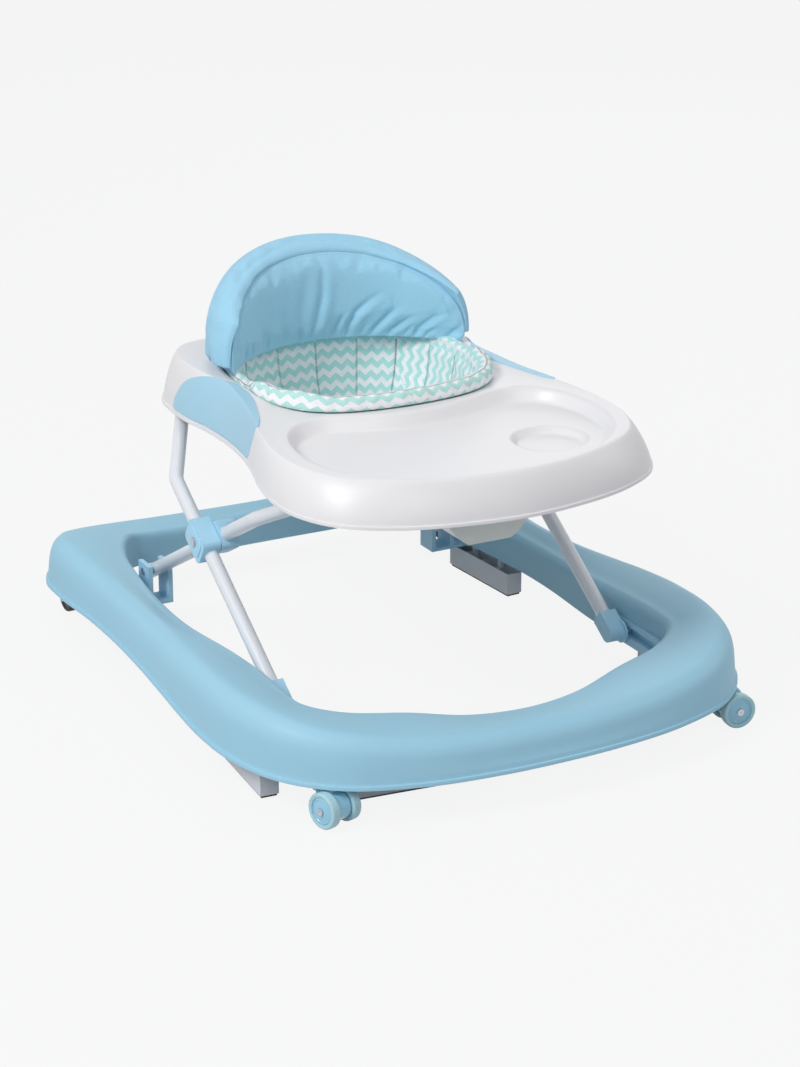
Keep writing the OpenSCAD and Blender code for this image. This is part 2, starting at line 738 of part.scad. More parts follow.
// Right half: lip x, lip y, opening x, opening y, ridge above the lip, opening edge above the lip, ridge inset
tray_half = stretched([
    [0, -290, 0, -50, 40, 44, 20],
    [72, -281, 42, -47, 40, 44, 20],
    [127, -263, 76, -38, 41, 44, 22],
    [171, -233, 100, -22, 41, 44, 28],
    [194, -190, 114, -3, 42, 45, 33],
    [198, -145, 120, 14, 43, 46, 35],
    [190, -96, 124, 28, 45, 48, 33],
    [171, -27, 128, 45, 48, 50, 27],
    [163, 30, 130, 62, 51, 52, 20],
    [163, 82, 131, 80, 53, 53, 17],
    [168, 122, 129, 105, 54, 54, 17],
    [168, 164, 121, 135, 54, 54, 16],
    [160, 206, 103, 163, 54, 54, 16],
    [134, 235, 75, 181, 54, 54, 18],
    [70, 247, 38, 190, 54, 54, 20],
    [0, 250, 0, 193, 54, 54, 20]
], tray_kx, tray_ky);

tray_run = closed_run(both_sides(tray_half), 2);
tray_top = lip_height + 54;
skirt = 34;

// Points up a rounded wall that leans in by inset and rises from low to high
wall_bow = 1.5;
function wall_curve(start, inset, low, high, angles) =
    [for (a = angles)
        [start + inset * (1 - pow(cos(a), wall_bow)), low + (high - low) * pow(sin(a), wall_bow)]];

function tray_section(s) =
    let (w = station_width(s), low = lip_height, r = low + s[4], e = low + s[5], t = shell_wall)
    [for (p = concat(
        [[-2, low], [-2, low + 3], [0, low + 4]],
        wall_curve(0, s[6], low + 4, r, [22, 38, 52, 68, 90]),
        [[w - 12, e], [w - 5, e - 1], [w - 1, e - 5], [w, e - 12], [w, e - skirt],
         [w - t, e - skirt], [w - t, e - 12], [w - 7, e - 1 - t], [w - 12, e - t]],
        wall_curve(t, s[6] + 1 - t, low, r - t, [90, 68, 52, 38, 22]),
        [[t, low]]
    )) at_station(s, p[0], p[1])];

dish_rim = lip_height + 40;
dish_floor = dish_rim - dish_depth;
cup_floor = dish_floor - cup_depth;
cup_place = [88 * tray_kx, -178 * tray_ky];

dish_half = [
    [0, -264], [52, -260], [94, -248], [128, -225], [153, -194], [164, -155],
    [163, -115], [150, -78], [126, -57], [99, -53], [70, -62], [35, -73], [0, -76]
];
dish_outline = closed_run(
    [for (p = concat(dish_half, [for (i = [len(dish_half) - 2:-1:1]) [-dish_half[i][0], dish_half[i][1]]]))
        [p[0] * tray_kx, p[1] * tray_ky]], 2);

// Outline moved outwards along its own normals
function swollen(outline, by) =
    let (n = len(outline))
    [for (i = [0:n - 1]) let (d = unit(outline[(i + 1) % n] - outline[(i + n - 1) % n]))
        outline[i] + by * [d[1], -d[0]]];

module tray_shell() {
    above = 30;
    color([0.93, 0.93, 0.94])
    difference() {
        union() {
            ring_loft([for (s = tray_run) tray_section(s)]);
            translate([0, 0, dish_floor - shell_wall])
                linear_extrude(dish_depth + shell_wall - 1) polygon(swollen(dish_outline, shell_wall));
            translate([cup_place[0], cup_place[1], cup_floor - shell_wall])
                cylinder(r = cup_r + shell_wall, h = cup_depth + 1);
        }
        translate([0, 0, dish_floor]) linear_extrude(above) polygon(dish_outline);
        translate([cup_place[0], cup_place[1], cup_floor]) cylinder(r = cup_r, h = above);
    }
}

// Points of a skin over the outside of the tray body, from near the lip up to the given share of the wall
function skin_points(s, reach, off) =
    let (angles = [for (a = [6, 22, 38, 52, 68, 90]) a * reach],
         p = wall_curve(0, s[6], lip_height + 4, lip_height + s[4], angles))
    [for (k = [0:5]) let (lean = 18 + 14 * k * reach)
        at_station(s, p[k][0] - off * cos(lean), p[k][1] + off * sin(lean))];

inlay_first = 14;
inlay_last = 23;
inlay_thick = 1.2;
skin_gap = 0.7;     // over the shell between two stations

module inlay(side) {
    stations = [for (i = [inlay_first:inlay_last]) tray_run[i]];
    count = len(stations);
    sections = [for (i = [0:count - 1])
        let (reach = lookup(i / (count - 1), [[0, 0.25], [0.3, 0.8], [0.5, 1], [0.85, 1], [1, 0.85]]),
             under = skin_points(stations[i], reach, skin_gap))
        concat(skin_points(stations[i], reach, skin_gap + inlay_thick), [for (k = [5:-1:0]) under[k]])];
    color([0.68, 0.83, 0.91]) on_side(side) strip_loft(sections);
}

clip_x = 80;
clip_w = 18;

clip_top = tray_top - shell_wall - seam;
clip_flange = 3;
clip_screw_y = heel_y - 14;
flange_top = clip_top - 1.5;     // below the rounded edge of the opening

module rear_bar_clips() {
    clip_low = rear_bar_z - tube_r - 3;
    color([0.8, 0.81, 0.83])
    both() difference() {
        union() {
            translate([clip_x - clip_w / 2, heel_y - 10, clip_low]) cube([clip_w, 20, clip_top - clip_low]);
            translate([clip_x - clip_w / 2, heel_y - 18, flange_top - clip_flange])
                cube([clip_w, 30, clip_flange]);
        }
        translate([clip_x - clip_w, heel_y, rear_bar_z]) rotate([0, 90, 0])
            cylinder(r = tube_r + running, h = 2 * clip_w);
        for (end = [-1, 1]) translate([clip_x + end * clip_w / 4, clip_screw_y, clip_low])
            cylinder(r = screw_r + snug, h = clip_top);
    }
}

// Screws up through the flanges of the rear clips
module tray_screws() {
    color([0.75, 0.75, 0.77])
    both() for (end = [-1, 1])
        translate([clip_x + end * clip_w / 4, clip_screw_y, flange_top - clip_flange]) screw(clip_flange);
}

guide_x = 95;
guide_thick = 6;

module front_guides() {
    slot_r = tube_r + foot_lift / 2 + 0.6;
    guide_top = cup_floor - shell_wall - seam;
    guide_low = front_bar_z - slot_r - 5;
    front = fold_foot_y - slot_r - 5;
    rear = raise_foot_y + slot_r + 5;
    pad_front = cup_place[1] + cup_r + shell_wall + 3;
    color([0.8, 0.81, 0.83])
    both() difference() {
        union() {
            translate([guide_x - guide_thick / 2, front, guide_low])
                cube([guide_thick, rear - front, guide_top - guide_low]);
            translate([guide_x - guide_thick, pad_front, guide_top - 2])
                cube([2 * guide_thick, rear - pad_front - 4, dish_floor - shell_wall - seam - guide_top + 2]);
        }
        translate([guide_x - guide_thick - 1, fold_foot_y, front_bar_z + foot_lift / 2])
            slot_bar(raise_foot_y - fold_foot_y, slot_r, 2 * guide_thick + 2);
    }
}

// Notched bar under the dish, one notch for each of the three heights
module height_rack() {
    top = dish_floor - shell_wall - seam;
    width = 18;
    notch = 9;
    color([0.8, 0.81, 0.83])
    difference() {
        translate([-width / 2, fold_foot_y - 8, rack_low])
            cube([width, raise_foot_y - fold_foot_y + 10, top - rack_low]);
        for (step = [0:2]) {
            raised = raise_angle * step / 2;
            bar_y = heel_y - inner_arm * cos(inner_slope + raised) - outer_arm * cos(outer_slope + raised);
            translate([-width / 2 - 1, bar_y - pawl_ahead - notch / 2, rack_low - 1])
                cube([width + 2, notch, 5]);
        }
    }
}

// ---- seat and backrest -----------------------------------------------------------------------

opening = [for (s = tray_run) [s[2], s[3]]];
seat_centre = [0, 75 * tray_ky];
seat_taper = 0.72;
leg_hole_r = 35;

// Slice of the seat at height z, inset from the opening and shrunk about the seat's centre
function seat_slice(inset, taper, z) =
    [for (p = swollen(opening, -inset))
        let (shrunk = seat_centre + taper * (p - seat_centre)) [shrunk[0], shrunk[1], z]];

module seat() {
    top = tray_top - 2.5;
    low = tray_top - seat_depth;
    knee = lip_height - 20;
    out = seam + 0.3;
    in = out + seat_cloth;
    color([0.8, 0.92, 0.91])
    difference() {
        strip_loft([
            seat_slice(in + 2, seat_taper * 0.9, low + seat_cloth), seat_slice(in, seat_taper, low + 12),
            seat_slice(in, 0.93, knee), seat_slice(in, 1, lip_height + 8), seat_slice(in, 1, top - 5),
            seat_slice(in - 2, 1, top), seat_slice(out + 2, 1, top),
            seat_slice(out, 1, top - 5), seat_slice(out, 1, lip_height + 8), seat_slice(out, 0.93, knee),
            seat_slice(out, seat_taper, low + 12), seat_slice(out + 2, seat_taper * 0.9, low)
        ]);
        both() translate([14 + leg_hole_r, seat_centre[1] - 30, low - 1]) cylinder(r = leg_hole_r, h = 20);
    }
}

back_centre_y = 19 * tray_ky;
back_foot = tray_top + seam;
arch_half_width = 139 * tray_kx;
back_sweep = 62;     // half of the cushion's arc, seen from above

// Half-moon seen from the front, pushed right through the walker
module arch(width, height, foot) {
    translate([0, 300, foot]) rotate([90, 0, 0]) linear_extrude(400)
        polygon([for (a = [0:7.5:180]) [width * cos(a), height * pow(sin(a), 0.6)]]);
}

module back_curve(r_in, r_out, foot, height) {
    translate([0, back_centre_y, foot]) rotate([0, 0, 90 - back_sweep]) rotate_extrude(angle = 2 * back_sweep)
        translate([r_in, 0]) square([r_out - r_in, height]);
}

module backrest_board() {
    outer = back_r + back_thick / 2 - 3;
    color([0.85, 0.86, 0.88])
    intersection() {
        back_curve(outer - board_thick, outer, back_foot, back_height + 5);
        arch(arch_half_width - 8, back_height - 8, back_foot);
    }
}

module backrest_cushion() {
    outer = back_r + back_thick / 2;
    color([0.55, 0.75, 0.88])
    difference() {
        intersection() {
            back_curve(back_r - back_thick / 2, outer, back_foot, back_height + 5);
            arch(arch_half_width, back_height, back_foot);
        }
        intersection() {
            back_curve(outer - 3 - board_thick - seam, outer - 3 + seam, back_foot - 1, back_height + 7);
            arch(arch_half_width - 8 + seam, back_height - 7 + 3 * seam, back_foot - 1);
        }
    }
}

// ---- nodes -----------------------------------------------------------------------------------

base_shell();
slide_track(-1);  // left_slide_track
slide_track(1);  // right_slide_track
heel_bracket(-1);  // left_heel_bracket
heel_bracket(1);  // right_heel_bracket
heel_pins();
caster_socket(-1);  // left_caster_socket
caster_socket(1);  // right_caster_socket
stopper(-1, front_stopper);  // front_left_stopper
stopper(1, front_stopper);  // front_right_stopper
stopper(-1, side_stopper);  // side_left_stopper
stopper(1, side_stopper);  // side_right_stopper
stopper(-1, rear_stopper);  // rear_left_stopper
stopper(1, rear_stopper);  // rear_right_stopper
stopper_soles();
base_screws();
caster_fork(-1);  // left_caster_fork
caster_axle(-1);  // left_caster_axle
caster_hub(-1, -1);  // left_caster_outer_hub
caster_tyre(-1, -1);  // left_caster_outer_tyre
caster_hub(-1, 1);  // left_caster_inner_hub
caster_tyre(-1, 1);  // left_caster_inner_tyre
caster_fork(1);  // right_caster_fork
caster_axle(1);  // right_caster_axle
caster_hub(1, -1);  // right_caster_outer_hub
caster_tyre(1, -1);  // right_caster_outer_tyre
caster_hub(1, 1);  // right_caster_inner_hub
caster_tyre(1, 1);  // right_caster_inner_tyre
rear_wheel_housing(-1);  // rear_left_wheel_housing
rear_axle(-1);  // rear_left_axle
rear_hub(-1);  // rear_left_hub
rear_tyre(-1);  // rear_left_tyre
rear_wheel_housing(1);  // rear_right_wheel_housing
rear_axle(1);  // rear_right_axle
rear_hub(1);  // rear_right_hub
rear_tyre(1);  // rear_right_tyre
outer_leg_frame();
foot_cap(-1);  // left_foot_cap
foot_cap(1);  // right_foot_cap
hinge_outer_half(-1);  // left_hinge_outer_half
hinge_outer_half(1);  // right_hinge_outer_half
inner_leg_frame();
heel_plugs();
hinge_inner_half(-1);  // left_hinge_inner_half
hinge_inner_half(1);  // right_hinge_inner_half
hinge_pins();
latch_housing();
latch_pawl();
latch_spring();
tray_shell();
inlay(-1);  // left_inlay
inlay(1);  // right_inlay
rear_bar_clips();
front_guides();
height_rack();
tray_screws();
seat();
backrest_board();
backrest_cushion();
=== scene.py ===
"""Baby walker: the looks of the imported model, in metres, front towards -Y."""

import json
import math

import bpy
import numpy as np
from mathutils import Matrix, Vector
from mathutils.bvhtree import BVHTree
from mathutils.kdtree import KDTree


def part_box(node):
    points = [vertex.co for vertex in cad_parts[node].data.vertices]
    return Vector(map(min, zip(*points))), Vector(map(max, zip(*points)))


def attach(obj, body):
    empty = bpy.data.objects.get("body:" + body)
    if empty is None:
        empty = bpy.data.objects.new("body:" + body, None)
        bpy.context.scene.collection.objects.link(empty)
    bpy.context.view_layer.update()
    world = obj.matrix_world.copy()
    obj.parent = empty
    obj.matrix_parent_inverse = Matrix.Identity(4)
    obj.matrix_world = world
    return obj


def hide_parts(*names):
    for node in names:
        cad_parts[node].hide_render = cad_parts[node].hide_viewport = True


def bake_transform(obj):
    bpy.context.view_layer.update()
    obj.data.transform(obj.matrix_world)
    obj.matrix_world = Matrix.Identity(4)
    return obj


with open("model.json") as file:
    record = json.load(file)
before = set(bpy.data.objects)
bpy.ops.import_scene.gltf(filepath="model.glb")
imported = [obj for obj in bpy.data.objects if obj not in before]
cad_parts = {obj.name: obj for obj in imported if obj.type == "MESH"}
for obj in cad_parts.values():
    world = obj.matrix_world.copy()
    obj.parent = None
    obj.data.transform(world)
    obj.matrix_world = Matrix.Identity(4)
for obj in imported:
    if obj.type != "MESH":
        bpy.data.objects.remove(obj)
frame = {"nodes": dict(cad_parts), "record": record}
scene = bpy.context.scene
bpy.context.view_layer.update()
MM = 0.001
SETTLE_FRAMES = 20      # frames that the padding's cloth is given to swell

# ---- driving dimensions, in millimetres, as in the part's source ----

WALL = 3.0
RIM_Z = 38.0
LIP_Z = 262.0
TRAY_TOP = 316.0
DISH_FLOOR_Z = 293.0
CUP_FLOOR_Z = 286.0
CUP_PLACE = (88.0, -178.0)
CUP_R = 38.0
BACK_CENTRE_Y = 19.0
BACK_R_IN, BACK_R_OUT = 146.25, 184.75
BACK_HALF_W, BACK_TALL = 139.0, 107.0
BACK_FOOT_Z = 316.3
TUBE_R, TUBE_BEND = 7.5, 25.0

# stations round the right half, front to rear: outer x and y, inner x and y, height of the ridge and of the
# inner edge, and for the tray how far in from the outer edge the ridge lies
BASE_ROWS = [
    (0, -360, 0, -288, 76, 69), (72, -357, 60, -279, 77, 70), (142, -346, 117, -263, 80, 78),
    (210, -320, 172, -246, 87, 83), (256, -273, 204, -221, 94, 88), (277, -211, 208, -190, 97, 90),
    (281, -150, 207, -150, 97, 90), (278, -95, 206, -110, 95, 88), (273, -40, 207, -60, 91, 85),
    (267, 30, 212, 25, 86, 80), (263, 105, 211, 95, 84, 79), (263, 180, 204, 170, 86, 80),
    (267, 250, 194, 240, 91, 84), (262, 308, 168, 294, 90, 82), (226, 346, 135, 304, 82, 76),
    (120, 356, 70, 304, 78, 74), (0, 353, 0, 304, 80, 76)]
TRAY_ROWS = [
    (0, -290, 0, -50, 302, 306, 20), (72, -281, 42, -47, 302, 306, 20), (127, -263, 76, -38, 303, 306, 22),
    (171, -233, 100, -22, 303, 306, 28), (194, -190, 114, -3, 304, 307, 33),
    (198, -145, 120, 14, 305, 308, 35), (190, -96, 124, 28, 307, 310, 33),
    (171, -27, 128, 45, 310, 312, 27), (163, 30, 130, 62, 313, 314, 20), (163, 82, 131, 80, 315, 315, 17),
    (168, 122, 129, 105, 316, 316, 17), (168, 164, 121, 135, 316, 316, 16),
    (160, 206, 103, 163, 316, 316, 16), (134, 235, 75, 181, 316, 316, 18),
    (70, 247, 38, 190, 316, 316, 20), (0, 250, 0, 193, 316, 316, 20)]
# right half of the dish's outline, front to rear: x and y
DISH_HALF = [
    (0, -264), (52, -260), (94, -248), (128, -225), (153, -194), (164, -155), (163, -115), (150, -78),
    (126, -57), (99, -53), (70, -62), (35, -73), (0, -76)]


# ---- curves and meshes ----

def smooth_run(rows, steps, closed=True):
    """Points on the Catmull-Rom curve through the rows, so many to each row."""
    rows = np.asarray(rows, float)
    if closed:
        a, b, c, d = (np.roll(rows, k, 0) for k in (1, 0, -1, -2))
    else:
        padded = np.vstack([2 * rows[0] - rows[1], rows, 2 * rows[-1] - rows[-2]])
        a, b, c, d = padded[:-3], padded[1:-2], padded[2:-1], padded[3:]
    t = (np.arange(steps) / steps)[None, :, None]
    a, b, c, d = (m[:, None, :] for m in (a, b, c, d))
    square, cube = 2 * a - 5 * b + 4 * c - d, 3 * b - a - 3 * c + d
    run = 0.5 * (2 * b + (c - a) * t + square * t ** 2 + cube * t ** 3)
    run = run.reshape(-1, rows.shape[1])
    return run if closed else np.vstack([run, rows[-1]])


def both_sides(half, mirrored):
    """Closed list of rows from the right half's, with the mirrored columns negated."""
    half = np.asarray(half, float)
    left = half[-2:0:-1].copy()
    left[:, mirrored] *= -1
    return np.vstack([half, left])


def smoothstep(x):
    """0 up to nought, 1 from one on, and a smooth rise between."""
    x = np.clip(x, 0, 1)
    return x * x * (3 - 2 * x)


def mesh_object(name, points, faces):
    """A mesh object in metres from points in millimetres, its faces turned outwards."""
    points = np.asarray(points, float).reshape(-1, 3)
    faces = [tuple(int(k) for k in face) for face in faces]
    if signed_volume(points, faces) < 0:
        faces = [face[::-1] for face in faces]
    mesh = bpy.data.meshes.new(name)
    mesh.from_pydata((points * MM).tolist(), [], faces)
    mesh.validate()
    made = bpy.data.objects.new(name, mesh)
    scene.collection.objects.link(made)
    return made


def new_object(name, points, faces, body, slot, sharp_angle=None, material=None):
    """A piece in its slot's material or a named one, riding on a body when one is given."""
    piece = mesh_object(name, points, faces)
    piece.data.shade_smooth()
    if sharp_angle is not None:
        piece.data.set_sharp_from_angle(angle=math.radians(sharp_angle))
    piece.data.materials.append(MATERIALS[material or slot])
    if body:
        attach(piece, body)
    return piece


def unit(rows):
    """The rows drawn to a length of one."""
    return rows / np.linalg.norm(rows, axis=1)[:, None]


def arc_length(points):
    """Length along a run of points, nought at the first."""
    return np.concatenate([[0], np.cumsum(np.linalg.norm(np.diff(points, axis=0), axis=1))])


def length_across(grid):
    """Length along each row of a grid of points, nought at the row's first."""
    lengths = np.linalg.norm(np.diff(grid, axis=1), axis=2)
    return np.concatenate([np.zeros((len(grid), 1)), np.cumsum(lengths, 1)], 1)


def grid_faces(nu, nv, closed_u, closed_v):
    """Quads between the neighbours of a grid whose point (i, j) has the number i * nv + j."""
    i = np.arange(nu if closed_u else nu - 1)[:, None]
    j = np.arange(nv if closed_v else nv - 1)[None, :]
    k, m = (i + 1) % nu, (j + 1) % nv
    return np.stack(np.broadcast_arrays(i * nv + j, i * nv + m, k * nv + m, k * nv + j), -1).reshape(-1, 4)


def capped_faces(nu, nv):
    """Quads of a grid of closed rings, and a face across the first ring and across the last."""
    faces = [tuple(quad) for quad in grid_faces(nu, nv, False, True)]
    return faces + [tuple(range(nv))[::-1], tuple((nu - 1) * nv + k for k in range(nv))]


def signed_volume(points, faces):
    """Volume inside faces of three or more corners, positive when they face outwards."""
    corners = [(f[0], f[k], f[k + 1]) for f in faces for k in range(1, len(f) - 1)]
    a, b, c = (points[list(numbers)] for numbers in zip(*corners))
    return (a * np.cross(b, c)).sum() / 6


def set_attribute(piece, name, values):
    """A vector per vertex, for a material to read."""
    attribute = piece.data.attributes.new(name, "FLOAT_VECTOR", "POINT")
    attribute.data.foreach_set("vector", values.astype(np.float32).ravel())


def evaluated(piece):
    """The piece as its modifiers leave it."""
    return piece.evaluated_get(bpy.context.evaluated_depsgraph_get())


def bake(piece):
    """Puts what the modifiers leave in place of the piece's mesh."""
    done = bpy.data.meshes.new_from_object(evaluated(piece))
    piece.modifiers.clear()
    piece.data = done


def cut(piece, cutters):
    """Takes box or cylinder solids out of a piece for good, and deletes them."""
    for cutter in cutters:
        modifier = piece.modifiers.new("cut", "BOOLEAN")
        modifier.object = cutter
        modifier.operation = "DIFFERENCE"
        modifier.solver = "EXACT"
    bake(piece)
    for cutter in cutters:
        bpy.data.objects.remove(cutter)


def mesh_points(mesh):
    """The mesh's points as an array, a row each."""
    points = np.empty(len(mesh.vertices) * 3, np.float32)
    mesh.vertices.foreach_get("co", points)
    return points.reshape(-1, 3).astype(float)


def point_tree(points):
    """A tree that finds the points nearest to a place, by their numbers."""
    tree = KDTree(len(points))
    for number, point in enumerate(points):
        tree.insert(point, number)
    tree.balance()
    return tree


def swell(piece, voxel, pressure, cap, held):
    """Puffs up a coarse copy of a padded piece as cloth under pressure, and moves the piece's points with it.

    held says which of the copy's points stay put. Each of the piece's points moves as its four nearest of the
    copy do, by their weighted mean, and by no more than cap. Lengths are in metres.
    """
    coarse = bpy.data.objects.new("coarse", piece.data.copy())
    scene.collection.objects.link(coarse)
    remesh = coarse.modifiers.new("remesh", "REMESH")
    remesh.mode = "VOXEL"
    remesh.voxel_size = voxel
    bake(coarse)
    rest = mesh_points(coarse.data)
    pins = coarse.vertex_groups.new(name="held")
    pins.add([int(k) for k in np.nonzero(held(rest))[0]], 1.0, "REPLACE")
    cloth = coarse.modifiers.new("cloth", "CLOTH")
    cloth.settings.vertex_group_mass = "held"
    cloth.settings.use_pressure = True
    cloth.settings.uniform_pressure_force = pressure
    cloth.settings.effector_weights.gravity = 0
    for step in range(1, SETTLE_FRAMES + 1):
        scene.frame_set(step)
    move = mesh_points(evaluated(coarse).to_mesh()) - rest
    scene.frame_set(1)
    tree = point_tree(rest)
    points = mesh_points(piece.data)
    for k, point in enumerate(points):
        near = tree.find_n(point, 4)
        weights = np.array([1 / (distance + voxel / 4) for _, _, distance in near])
        shift = weights @ move[[index for _, index, _ in near]] / weights.sum()
        points[k] += shift * min(1.0, cap / max(np.linalg.norm(shift), 1e-9))
    piece.data.vertices.foreach_set("co", points.astype(np.float32).ravel())
    piece.data.update()
    bpy.data.objects.remove(coarse)


def box_solid(low, high):
    """A plain box between two corners, in millimetres."""
    x, y, z = zip(low, high)
    verts = [(x[i], y[j], z[k]) for i in (0, 1) for j in (0, 1) for k in (0, 1)]
    faces = [(0, 1, 3, 2), (4, 6, 7, 5), (0, 4, 5, 1), (2, 3, 7, 6), (0, 2, 6, 4), (1, 5, 7, 3)]
    return mesh_object("box", verts, faces)


def cylinder_solid(centre, r, low, high, sides=64):
    """An upright cylinder, in millimetres."""
    a = np.arange(sides) * 2 * math.pi / sides
    ring = np.stack([centre[0] + r * np.cos(a), centre[1] + r * np.sin(a)], 1)
    verts = np.vstack([np.c_[ring, np.full(sides, low)], np.c_[ring, np.full(sides, high)]])
    faces = [(k, (k + 1) % sides, sides + (k + 1) % sides, sides + k) for k in range(sides)]
    faces += [tuple(range(sides))[::-1], tuple(range(sides, 2 * sides))]
    return mesh_object("cylinder", verts, faces)


# ---- materials ----

def srgb(r, g, b):
    """Linear colour from 0-255 screen values."""
    def linear(c):
        c /= 255
        return c / 12.92 if c <= 0.04045 else ((c + 0.055) / 1.055) ** 2.4
    return (linear(r), linear(g), linear(b), 1.0)


class Tree:
    """Short way to add and join shader nodes; wherever a value goes, another node's output may go."""
    def __init__(self, tree):
        self.tree = tree

    def put(self, socket, value):
        if isinstance(value, bpy.types.NodeSocket):
            self.tree.links.new(value, socket)
        else:
            socket.default_value = value

    def add(self, kind, inputs=None, **settings):
        node = self.tree.nodes.new(kind)
        for key, value in settings.items():
            setattr(node, key, value)
        for key, value in (inputs or {}).items():
            self.put(node.inputs[key], value)
        return node

    def math(self, operation, *values):
        return self.add("ShaderNodeMath", inputs=dict(enumerate(values)), operation=operation).outputs[0]

    def plus(self, a, b):
        return self.math("ADD", a, b)

    def minus(self, a, b):
        return self.math("SUBTRACT", a, b)

    def times(self, a, b):
        return self.math("MULTIPLY", a, b)

    def mix(self, factor, a, b, blend_type="MIX"):
        colours = {0: factor, 6: a, 7: b}
        return self.add("ShaderNodeMix", inputs=colours, data_type="RGBA", blend_type=blend_type).outputs[2]

    def shade(self, colour, amount):
        """The colour darkened to this share of its brightness."""
        grey = self.add("ShaderNodeCombineColor", inputs={k: amount for k in range(3)})
        return self.mix(1.0, colour, grey.outputs[0], "MULTIPLY")

    def noise(self, place, scale, detail):
        inputs = {"Vector": place, "Scale": scale, "Detail": detail}
        return self.add("ShaderNodeTexNoise", inputs=inputs).outputs[0]

    def relief(self, height, distance, strength):
        inputs = {"Height": height, "Distance": distance, "Strength": strength}
        return self.add("ShaderNodeBump", inputs=inputs).outputs[0]


def node_group(name, inputs, outputs):
    """A new group of shader nodes, a Tree to fill it, and the nodes at its two ends."""
    group = bpy.data.node_groups.new(name, "ShaderNodeTree")
    for way, labels in (("INPUT", inputs), ("OUTPUT", outputs)):
        for label in labels:
            kind = "NodeSocketVector" if label == "Cloth" else "NodeSocketFloat"
            group.interface.new_socket(name=label, in_out=way, socket_type=kind)
    tree = Tree(group)
    return group, tree, tree.add("NodeGroupInput"), tree.add("NodeGroupOutput")


def surface_group():
    """Fine grain, faint scuffs and uneven gloss for any hard surface, from object coordinates."""
    grain_scale, patch_scale, scuff_scale = 900.0, 9.0, (60.0, 420.0, 150.0)
    scuff_from, scuff_gain, scuff_dark = 0.68, 3.0, 0.25
    gloss_spread, shade_spread, mean_shade = 0.08, 0.035, 0.99
    group, t, source, result = node_group(
        "surface_marks", ["Grain", "Rough", "Wear"], ["Height", "Roughness", "Shade"])
    place = t.add("ShaderNodeTexCoord").outputs["Object"]
    fine = t.noise(place, grain_scale, 3.0)
    broad = t.minus(t.noise(place, patch_scale, 3.0), 0.5)
    stretched = t.add("ShaderNodeMapping", inputs={"Vector": place, "Scale": scuff_scale}).outputs[0]
    scuff = t.math("MAXIMUM", t.minus(t.noise(stretched, 1.0, 4.0), scuff_from), 0.0)
    marks = t.times(t.times(scuff, scuff_gain), source.outputs["Wear"])
    height = t.times(fine, source.outputs["Grain"])
    rough = t.plus(source.outputs["Rough"], t.times(broad, gloss_spread))
    rough = t.plus(rough, marks)
    shade = t.plus(mean_shade, t.times(broad, shade_spread))
    shade = t.minus(shade, t.times(marks, scuff_dark))
    for label, value in (("Height", height), ("Roughness", rough), ("Shade", shade)):
        t.put(result.inputs[label], value)
    return group


SURFACE = surface_group()


def weave_group():
    """Plain weave from cloth coordinates in metres: a height, and a shade made of painted shade between the
    threads and uneven slub tone.
    """
    slub_scale, slub_gain = 260.0, 2.0
    mean_shade, painted_gap_shade, slub_shade = 0.97, 0.02, 0.10
    group, t, source, result = node_group("plain_weave", ["Cloth", "Threads"], ["Height", "Shade"])
    parts = t.add("ShaderNodeSeparateXYZ", inputs={0: source.outputs["Cloth"]})
    turns = t.times(source.outputs["Threads"], 2 * math.pi)
    over = t.math("SINE", t.times(parts.outputs[0], turns))
    under = t.math("SINE", t.times(parts.outputs[1], turns))
    height = t.times(over, under)
    slub = t.minus(t.noise(source.outputs["Cloth"], slub_scale, 4.0), 0.5)
    shade = t.plus(t.times(height, painted_gap_shade), t.times(slub, slub_shade))
    t.put(result.inputs["Height"], t.plus(height, t.times(slub, slub_gain)))
    t.put(result.inputs["Shade"], t.plus(mean_shade, shade))
    return group


WEAVE = weave_group()
MATERIALS = {}              # by name, which is the slot's for all but the thread and the floor
SEAM_SHADE_WIDTH = 0.0016         # of the painted shade line on either side of a seam
ZIGZAG_WAVE, ZIGZAG_PERIOD, ZIGZAG_SWING = 0.0150, 0.0140, 0.0030


def new_material(name):
    """A material with its Tree and its principled node."""
    material = bpy.data.materials.new(name)
    material.use_nodes = True
    MATERIALS[name] = material
    principled = next(node for node in material.node_tree.nodes if node.type == "BSDF_PRINCIPLED")
    return material, Tree(material.node_tree), principled


def hard_material(name, colour, rough, grain=0.25, wear=0.5, metallic=0.0, coat=0.0, alpha=1.0, specular=0.5,
                  subsurface=0.0):
    """Moulded plastic, paint, rubber or metal: its colour with grain, scuffs and dulled patches."""
    _, t, principled = new_material(name)
    marks = t.add("ShaderNodeGroup", inputs={"Grain": grain, "Rough": rough, "Wear": wear}, node_tree=SURFACE)
    relief = t.relief(marks.outputs["Height"], 0.0004, 0.5)
    for label, value in (("Base Color", t.shade(srgb(*colour), marks.outputs["Shade"])),
                         ("Roughness", marks.outputs["Roughness"]), ("Normal", relief),
                         ("Metallic", metallic), ("Coat Weight", coat), ("Coat Roughness", 0.12),
                         ("Alpha", alpha), ("Specular IOR Level", specular),
                         ("Subsurface Weight", subsurface), ("Subsurface Scale", 0.004)):
        t.put(principled.inputs[label], value)


def cloth_coordinates(t):
    """The cloth attribute: metres along the cloth, metres across it, metres to the nearest seam."""
    return t.add("ShaderNodeAttribute", attribute_name="cloth").outputs["Vector"]


def cloth_material(name, colour):
    """Plain woven cloth of one colour."""
    _, t, principled = new_material(name)
    finish_cloth(t, principled, srgb(*colour), threads=1300.0, rough=0.85, sheen=0.25, bump=0.00012)


